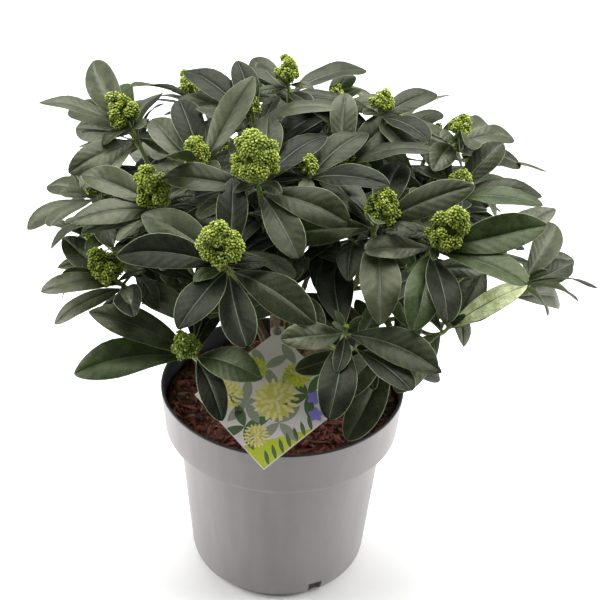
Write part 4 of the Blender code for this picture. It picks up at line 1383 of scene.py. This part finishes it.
def pot_profile():
    """The pot's outline: under its floor, up its outside, over the rim and down inside."""
    spread = BODY_FOOT_RADIUS - FOOT_RADIUS
    outside = [(0, 0), (BOSS_RADIUS, 0), (BOSS_RADIUS, FLOOR_UNDERSIDE),
               (CAVITY_RADIUS, FLOOR_UNDERSIDE), (CAVITY_RADIUS - 0.0015, FLOOR_UNDERSIDE / 2),
               (FOOT_RADIUS - 0.004, 0)]
    outside += [(FOOT_RADIUS + spread * math.sin(a), FOOT_CORNER * (1 - math.cos(a)))
                for a in (math.radians(90 * k / 8) for k in range(9))]
    first = len(outside)
    outside += [
        (body_radius(0.05), 0.05),
        (body_radius(0.09), 0.09),
        (BODY_TOP_RADIUS, COLLAR_BOTTOM),
        (COLLAR_RADIUS - COLLAR_BEVEL * 0.4, COLLAR_BOTTOM),
        (COLLAR_RADIUS, COLLAR_BOTTOM + COLLAR_BEVEL),
        (RIM_RADIUS - 0.0002, RIM_TOP - 0.0040),
        (RIM_RADIUS, RIM_TOP - 0.0022),
        (RIM_RADIUS, RIM_TOP),
        (RIM_RADIUS - WALL, RIM_TOP),
        (COLLAR_RADIUS - WALL, COLLAR_BOTTOM + COLLAR_BEVEL),
        (BODY_TOP_RADIUS - WALL, COLLAR_BOTTOM - WALL),
        (body_radius(FLOOR_TOP) - WALL, FLOOR_TOP + 0.007),
        (BODY_FOOT_RADIUS - 0.006, FLOOR_TOP),
        (0, FLOOR_TOP),
    ]
    return rounded(outside, {1: 0.0008, 2: 0.001, 3: 0.001, first + 2: 0.0014, first + 3: 0.0016,
                             first + 4: 0.0018, first + 7: 0.0011, first + 8: 0.0011})


def cut_notches(made):
    """Cuts the drain notches out of the pot's foot ring."""
    reach, under = 0.012, 0.002
    cutters = []
    for number, bearing in enumerate(NOTCH_BEARINGS):
        out = direction(math.radians(bearing), 0)
        across = Vector((-out.y, out.x, 0))
        low = [
            out * FOOT_RADIUS + out * along + across * side - UP * under
            for along, side in ((-reach, -NOTCH_WIDTH / 2), (reach, -NOTCH_WIDTH / 2),
                                (reach, NOTCH_WIDTH / 2), (-reach, NOTCH_WIDTH / 2))
        ]
        high = [point + UP * (NOTCH_HEIGHT + under) for point in low]
        points, faces = skin([low, high])
        mesh = bpy.data.meshes.new(f"notch_{number}")
        mesh.from_pydata(points, [], faces)
        cutters.append(linked(f"notch_{number}", mesh))
        cut = made.modifiers.new(f"notch_{number}", "BOOLEAN")
        cut.operation = "DIFFERENCE"
        cut.object = cutters[-1]
    graph = bpy.context.evaluated_depsgraph_get()
    finished = bpy.data.meshes.new_from_object(made.evaluated_get(graph))
    made.modifiers.clear()
    made.data = finished
    for cutter in cutters:
        bpy.data.objects.remove(cutter)


def make_pot():
    """The pot in one piece, dark from its rim's inner edge on."""
    profile = pot_profile()
    sides = 160
    dark_from = next(k for k, (_, height) in enumerate(profile) if height > RIM_TOP - 0.0018)
    looks = [int(k >= dark_from) for k in range(len(profile) - 1) for _ in range(sides)]
    gather = Gather()
    gather.add(*turned(profile, sides), looks)
    cut_notches(gather.piece("pot_shell", [
        pot_look("pot_grey", (0.222, 0.206, 0.209), (0.252, 0.234, 0.238), (0.38, 0.50)),
        pot_look("pot_dark", (0.020, 0.022, 0.026), (0.030, 0.032, 0.036), (0.35, 0.5)),
    ], "pot", ["pot"], sharp=40))


def bed_height(x, y):
    """The uneven top of the potting soil."""
    far = math.hypot(x, y) / 0.10
    rough = noise.noise(Vector((x * 60, y * 60, 3.1))) * 0.0022
    rough += noise.noise(Vector((x * 190, y * 190, 7.7))) * 0.0014
    return SOIL_TOP - 0.0012 + rough - 0.002 * far ** 4


def soil_place(reach, rng):
    """A place drawn evenly over the soil, as x and y."""
    far = reach * math.sqrt(rng.random())
    turn = rng.uniform(0, TURN)
    return far * math.cos(turn), far * math.sin(turn)


def add_chip(chips, wall, rng):
    """A flat splinter of bark that lies on the soil, a little tilted."""
    x, y = soil_place(wall - 0.002, rng)
    size = rng.choice(CHIP_SCALES)
    long, wide, flat = [part * size for part in CHIP_SIZE]
    long *= rng.uniform(0.7, 1.5)
    way = rng.uniform(0, TURN)
    tilt = rng.gauss(0, 0.32)
    ahead = direction(way, tilt)
    side, up = cross_axes(ahead)
    spin = rng.gauss(0, 0.5) + math.atan2(side.z, up.z)
    across = side * math.cos(spin) - up * math.sin(spin)
    over = ahead.cross(across)
    if over.z < 0:
        over = -over
    lift = abs(math.sin(tilt)) * long * 0.6
    centre = Vector((x, y, bed_height(x, y) + rng.uniform(0.0, 0.0016) + lift * 0.5))
    if (centre.xy - TRUNK_FOOT.xy).length < STEM_ROOM:
        return
    limit = wall - 0.0004
    rings = []
    for t, fat in ((-1, 0.35), (-0.45, 1.0), (0.4, 0.9), (1, 0.25)):
        ring = [
            centre + ahead * long * t + across * wide * a * fat * rng.uniform(0.7, 1.2)
            + over * flat * b * fat * rng.uniform(0.6, 1.5)
            for a, b in ((-1, -0.4), (0.1, -1), (1, 0.1), (-0.1, 1))
        ]
        for p in ring:
            out = math.hypot(p.x, p.y)
            if out > limit:
                p.x, p.y = p.x * limit / out, p.y * limit / out
        rings.append(ring)
    pick = rng.random()
    chips.add(*skin(rings), next(look for share, look in CHIP_LOOKS if pick < share))


def add_fibre(chips, wall, rng):
    """A thin bent fibre on the soil."""
    place = Vector((*soil_place(wall - 0.012, rng), 0))
    way = rng.uniform(0, TURN)
    bend = rng.uniform(-1.6, 1.6)
    line = []
    for k in range(8):
        height = bed_height(place.x, place.y) + 0.0012 + 0.0012 * math.sin(k * 0.45 * math.pi)
        line.append(Vector((place.x, place.y, height)))
        place += direction(way + bend * k / 7, 0) * rng.uniform(0.0012, 0.0022)
    if any((p.xy - TRUNK_FOOT.xy).length < STEM_ROOM + 0.0005 for p in line):
        return
    rings = []
    for k, p in enumerate(line):
        ahead = (line[min(k + 1, 7)] - line[max(k - 1, 0)]).normalized()
        rings.append(ring_of(p, *cross_axes(ahead), FIBRE_RADIUS, 3))
    chips.add(*skin(rings), SOIL_TAN if rng.random() < 0.5 else SOIL_RED)


def make_soil():
    """The uneven bed of potting soil, and the loose bark on it."""
    gap = 2 * CLEAR
    wall = COLLAR_RADIUS - WALL - gap
    profile = [
        (0, FLOOR_TOP + CLEAR),
        (BODY_FOOT_RADIUS - 0.0085, FLOOR_TOP + CLEAR),
        (body_radius(FLOOR_TOP) - WALL - gap - 0.001, FLOOR_TOP + 0.008),
        (BODY_TOP_RADIUS - WALL - gap, COLLAR_BOTTOM - WALL),
        (wall - 0.0005, COLLAR_BOTTOM + COLLAR_BEVEL + 0.0005),
        (wall + 0.0008, SOIL_TOP - 0.0045),
        *(((wall + 0.0008) * (1 - k / 36), SOIL_TOP) for k in range(36)),
        (0, SOIL_TOP),
    ]
    points, faces = turned(profile, 140)
    for p in points:
        if p.z > SOIL_TOP - 0.001:
            p.z = bed_height(p.x, p.y)
    gather = Gather()
    gather.add(points, faces, SOIL_BROWN)
    gather.piece("soil_bed", SOIL_LOOKS, "soil", ["soil"])
    chips = Gather()
    rng = random.Random(404)
    for _ in range(CHIP_COUNT):
        add_chip(chips, wall, rng)
    for _ in range(FIBRE_COUNT):
        add_fibre(chips, wall, rng)
    chips.piece("soil_chips", SOIL_LOOKS, "soil", sharp=35)


# Label


def clip(shape, outline_points):
    """A flat shape cut to the inside of a convex outline that turns left."""
    for a, b in zip(outline_points, outline_points[1:] + outline_points[:1]):
        kept = []
        for p, q in zip(shape, shape[1:] + shape[:1]):
            here = (b - a).cross(p - a)
            there = (b - a).cross(q - a)
            if here >= 0:
                kept.append(p)
            if here * there < 0:
                kept.append(p.lerp(q, here / (here - there)))
        shape = kept
        if len(shape) < 3:
            return []
    return shape


def flat_way(turn):
    return Vector((math.cos(turn), math.sin(turn)))


def petal(centre, turn, length, width, steps=7):
    """A pointed oval in the plane, from a centre outwards."""
    ahead = flat_way(turn)
    side = Vector((-ahead.y, ahead.x))

    def rim(k, hand):
        swell = math.sin(math.pi * k / steps) ** 0.8
        return centre + ahead * length * k / steps + side * hand * width / 2 * swell

    return [centre, *(rim(k, -1) for k in range(1, steps)), centre + ahead * length,
            *(rim(k, 1) for k in range(steps - 1, 0, -1))]


def label_frame(path):
    """The label's lowest corner, its slope up to where a bough's path meets it, and its normal."""
    up_slope = Vector((0, math.cos(LABEL_SLOPE), math.sin(LABEL_SLOPE)))
    normal = Matrix.Rotation(LABEL_ROLL, 3, up_slope) @ Vector((1, 0, 0)).cross(up_slope)
    low, high = 0.0, 0.8
    for _ in range(30):
        middle = (low + high) / 2
        if (path.at(middle) - LABEL_LOW_CORNER).dot(normal) < 0:
            low = middle
        else:
            high = middle
    return LABEL_LOW_CORNER, path.at(low) - LABEL_LOW_CORNER, normal


def label_eye(low, to_eye, normal):
    """Points and faces of the ring that holds the label round its bough."""
    up_slope = to_eye / to_eye.length
    across = up_slope.cross(normal)
    inner, outer, sides = LABEL_EYE_INNER, LABEL_EYE_OUTER, 28
    section = ((inner, -0.00025), (inner + 0.0002, -0.0004), (outer - 0.0002, -0.0004),
               (outer, 0.0), (outer - 0.0002, 0.0004), (inner + 0.0002, 0.0004),
               (inner, 0.00025))
    count = len(section)
    middle = low + to_eye + normal * LABEL_THICKNESS * 0.5
    points = [middle + mix(TURN * i / sides, up_slope, across) * radius + normal * height
              for i in range(sides) for radius, height in section]
    faces = []
    for i in range(sides):
        here, there = count * i, count * ((i + 1) % sides)
        for k in range(count):
            j = (k + 1) % count
            faces.append((here + k, here + j, there + j, there + k))
    return points, faces


# The label's printed motifs, placed by shares of its two lower edges. Sprays of leaves: place,
# turn, leaves and look. Violet flowers: place and turn. Blooms: place, size, look and turn.
SPRAYS = (
    (0.30, 0.62, 0.3, 5, CARD_SHADE), (0.78, 0.30, 1.1, 5, CARD_LEAF),
    (0.66, 0.78, 0.6, 4, CARD_SHADE), (0.14, 0.44, 2.0, 4, CARD_LEAF),
    (0.90, 0.62, 0.1, 3, CARD_SHADE), (0.40, 0.26, 0.8, 4, CARD_SHADE),
)
VIOLETS = ((0.70, 0.10, 0.4), (0.80, 0.24, 1.3))
BLOOMS = (
    (0.52, 0.46, 0.22, CARD_STRAW, 0.1), (0.83, 0.52, 0.14, CARD_LIME, 0.3),
    (0.22, 0.80, 0.16, CARD_STRAW, 0.2), (0.57, 0.84, 0.14, CARD_LIME, 0.0),
    (0.16, 0.30, 0.12, CARD_STRAW, 0.4),
)
BLOOM_ROUNDS = ((0.70, 19), (0.52, 15), (0.35, 11), (0.18, 7), (0.0, 4))


def make_label(masses):
    """The card with its raised print, and the eye that holds it."""
    held = next(mass for mass in masses if mass.name == LABEL_BOUGH)
    low, to_eye, normal = label_frame(held.path)
    reach = to_eye.length
    up_slope = to_eye / reach
    across = up_slope.cross(normal)
    side = LABEL_SIDE
    edge = 2 * (reach - LABEL_EYE_INNER * 1.1) / math.sqrt(2) - side
    right = Vector((1, 1)).normalized()
    left = Vector((-1, 1)).normalized()
    card = [Vector((0, 0)), right * side, right * side + left * edge,
            left * side + right * edge, left * side]
    top = LABEL_THICKNESS * 0.72
    inner = [p.lerp(sum(card, Vector((0, 0))) / 5, 0.012) for p in card]
    gather = Gather()

    def lift(flat_points, height):
        return [low + across * p.x + up_slope * p.y + normal * height for p in flat_points]

    def printed(shape, look, layer):
        shape = clip(shape, inner)
        if shape:
            gather.add(*skin([lift(shape, top - 0.0002), lift(shape, top + 0.00003 * layer)]), look)

    def spot(u, v):
        return right * side * u + left * side * v

    gather.add(*skin([lift(card, 0.0), lift(card, top)]), CARD_GREY)
    printed([spot(0, 0), spot(0.62, 0), spot(0, 0.30)], CARD_LIME, 1)
    for k in range(7):
        blade = petal(spot(0.06 + 0.085 * k, 0), 1.9, side * 0.16, side * 0.04, 4)
        printed(blade, CARD_LEAF, 2)
    for u, v, turn, count, look in SPRAYS:
        for n in range(count):
            blade = petal(spot(u, v), turn + TURN * n / count, side * 0.25, side * 0.095)
            printed(blade, look, 2 + n % 3)
    for u, v, turn in VIOLETS:
        for n in range(5):
            blade = petal(spot(u, v), turn + TURN * n / 5, side * 0.075, side * 0.055, 5)
            printed(blade, CARD_VIOLET, 11)
    for u, v, size, look, turn in BLOOMS:
        centre = spot(u, v)
        printed([centre + flat_way(a) * side * size * 0.85
                 for a in np.linspace(0, TURN, 15)[:-1]], CARD_OLIVE, 4)
        for layer, (far, count) in enumerate(BLOOM_ROUNDS):
            for n in range(count):
                way = turn + layer * 0.5 + TURN * n / count
                foot = centre + flat_way(way) * side * size * far
                tone = CARD_OLIVE if (n + layer) % 4 == 0 else look
                blade = petal(foot, way, side * size * 0.32, side * size * 0.17, 4)
                printed(blade, tone, 5 + layer)
    printed([spot(0.90, 0), spot(1, 0), spot(1, 0.40), spot(0.90, 0.30)], CARD_VIOLET, 11)
    gather.add(*label_eye(low, to_eye, normal), CARD_GREY)
    gather.piece("label_card", [card_look(f"card_{name}", tone)
                                for name, tone in CARD_TONES.items()],
                 "label", ["label"], sharp=30)


# Camera, floor and light


def make_camera():
    camera = linked("camera", bpy.data.cameras.new("camera"))
    bpy.context.scene.camera = camera
    camera.data.sensor_width = 36
    camera.data.lens = CAMERA_LENS
    camera.data.clip_start = 0.01
    camera.location = CAMERA_PLACE
    tilt = Matrix.Rotation(math.pi / 2 - CAMERA_PITCH, 3, "X")
    camera.rotation_euler = (tilt @ Matrix.Rotation(CAMERA_ROLL, 3, "Z")).to_euler()


def make_floor():
    mesh = bpy.data.meshes.new("floor")
    mesh.from_pydata(level_ring(Vector((0, 0, 0)), 6.0, 64), [], [tuple(range(64))])
    floor = linked("floor", mesh)
    nodes = material("floor_white_painted_shade_front")
    split = nodes.add("ShaderNodeSeparateXYZ", Vector=nodes.place["Object"])
    # Darker towards the front: painted shade for the dark side of the studio before the plant
    depth = nodes.between(split.outputs["Y"], 0.0, 1.0, From_Min=-0.75, From_Max=-0.1)
    uneven = nodes.times(nodes.minus(nodes.noise(1.5), 0.5), 0.04)
    shade = nodes.ramp(nodes.plus(depth, uneven), (0.0, FLOOR_FRONT), (1.0, FLOOR_BACK))
    mesh.materials.append(nodes.finish(Base_Color=shade, Roughness=0.6))


def make_light():
    world = bpy.data.worlds.new("studio")
    bpy.context.scene.world = world
    nodes = Nodes(world, "Background")
    split = nodes.add("ShaderNodeSeparateXYZ", Vector=nodes.place["Generated"])
    strength = nodes.between(split.outputs["Y"], WORLD_FRONT, WORLD_BACK, From_Min=-0.9,
                             From_Max=0.6)
    nodes.finish(Strength=strength, Color=(1.0, 0.99, 0.97, 1.0))
    for name, (place, aim, size, power) in LAMPS.items():
        light = bpy.data.lights.new(name, "AREA")
        light.energy = power
        light.size = size
        lamp = linked(name, light)
        lamp.location = place
        lamp.rotation_euler = (Vector(aim) - Vector(place)).to_track_quat("-Z", "Y").to_euler()
    bpy.context.scene.view_settings.view_transform = "Standard"


make_camera()
make_floor()
make_light()
masses = all_masses()
bough_starts(masses)
make_pot()
make_soil()
make_label(masses)
wood(masses)
plant(masses)
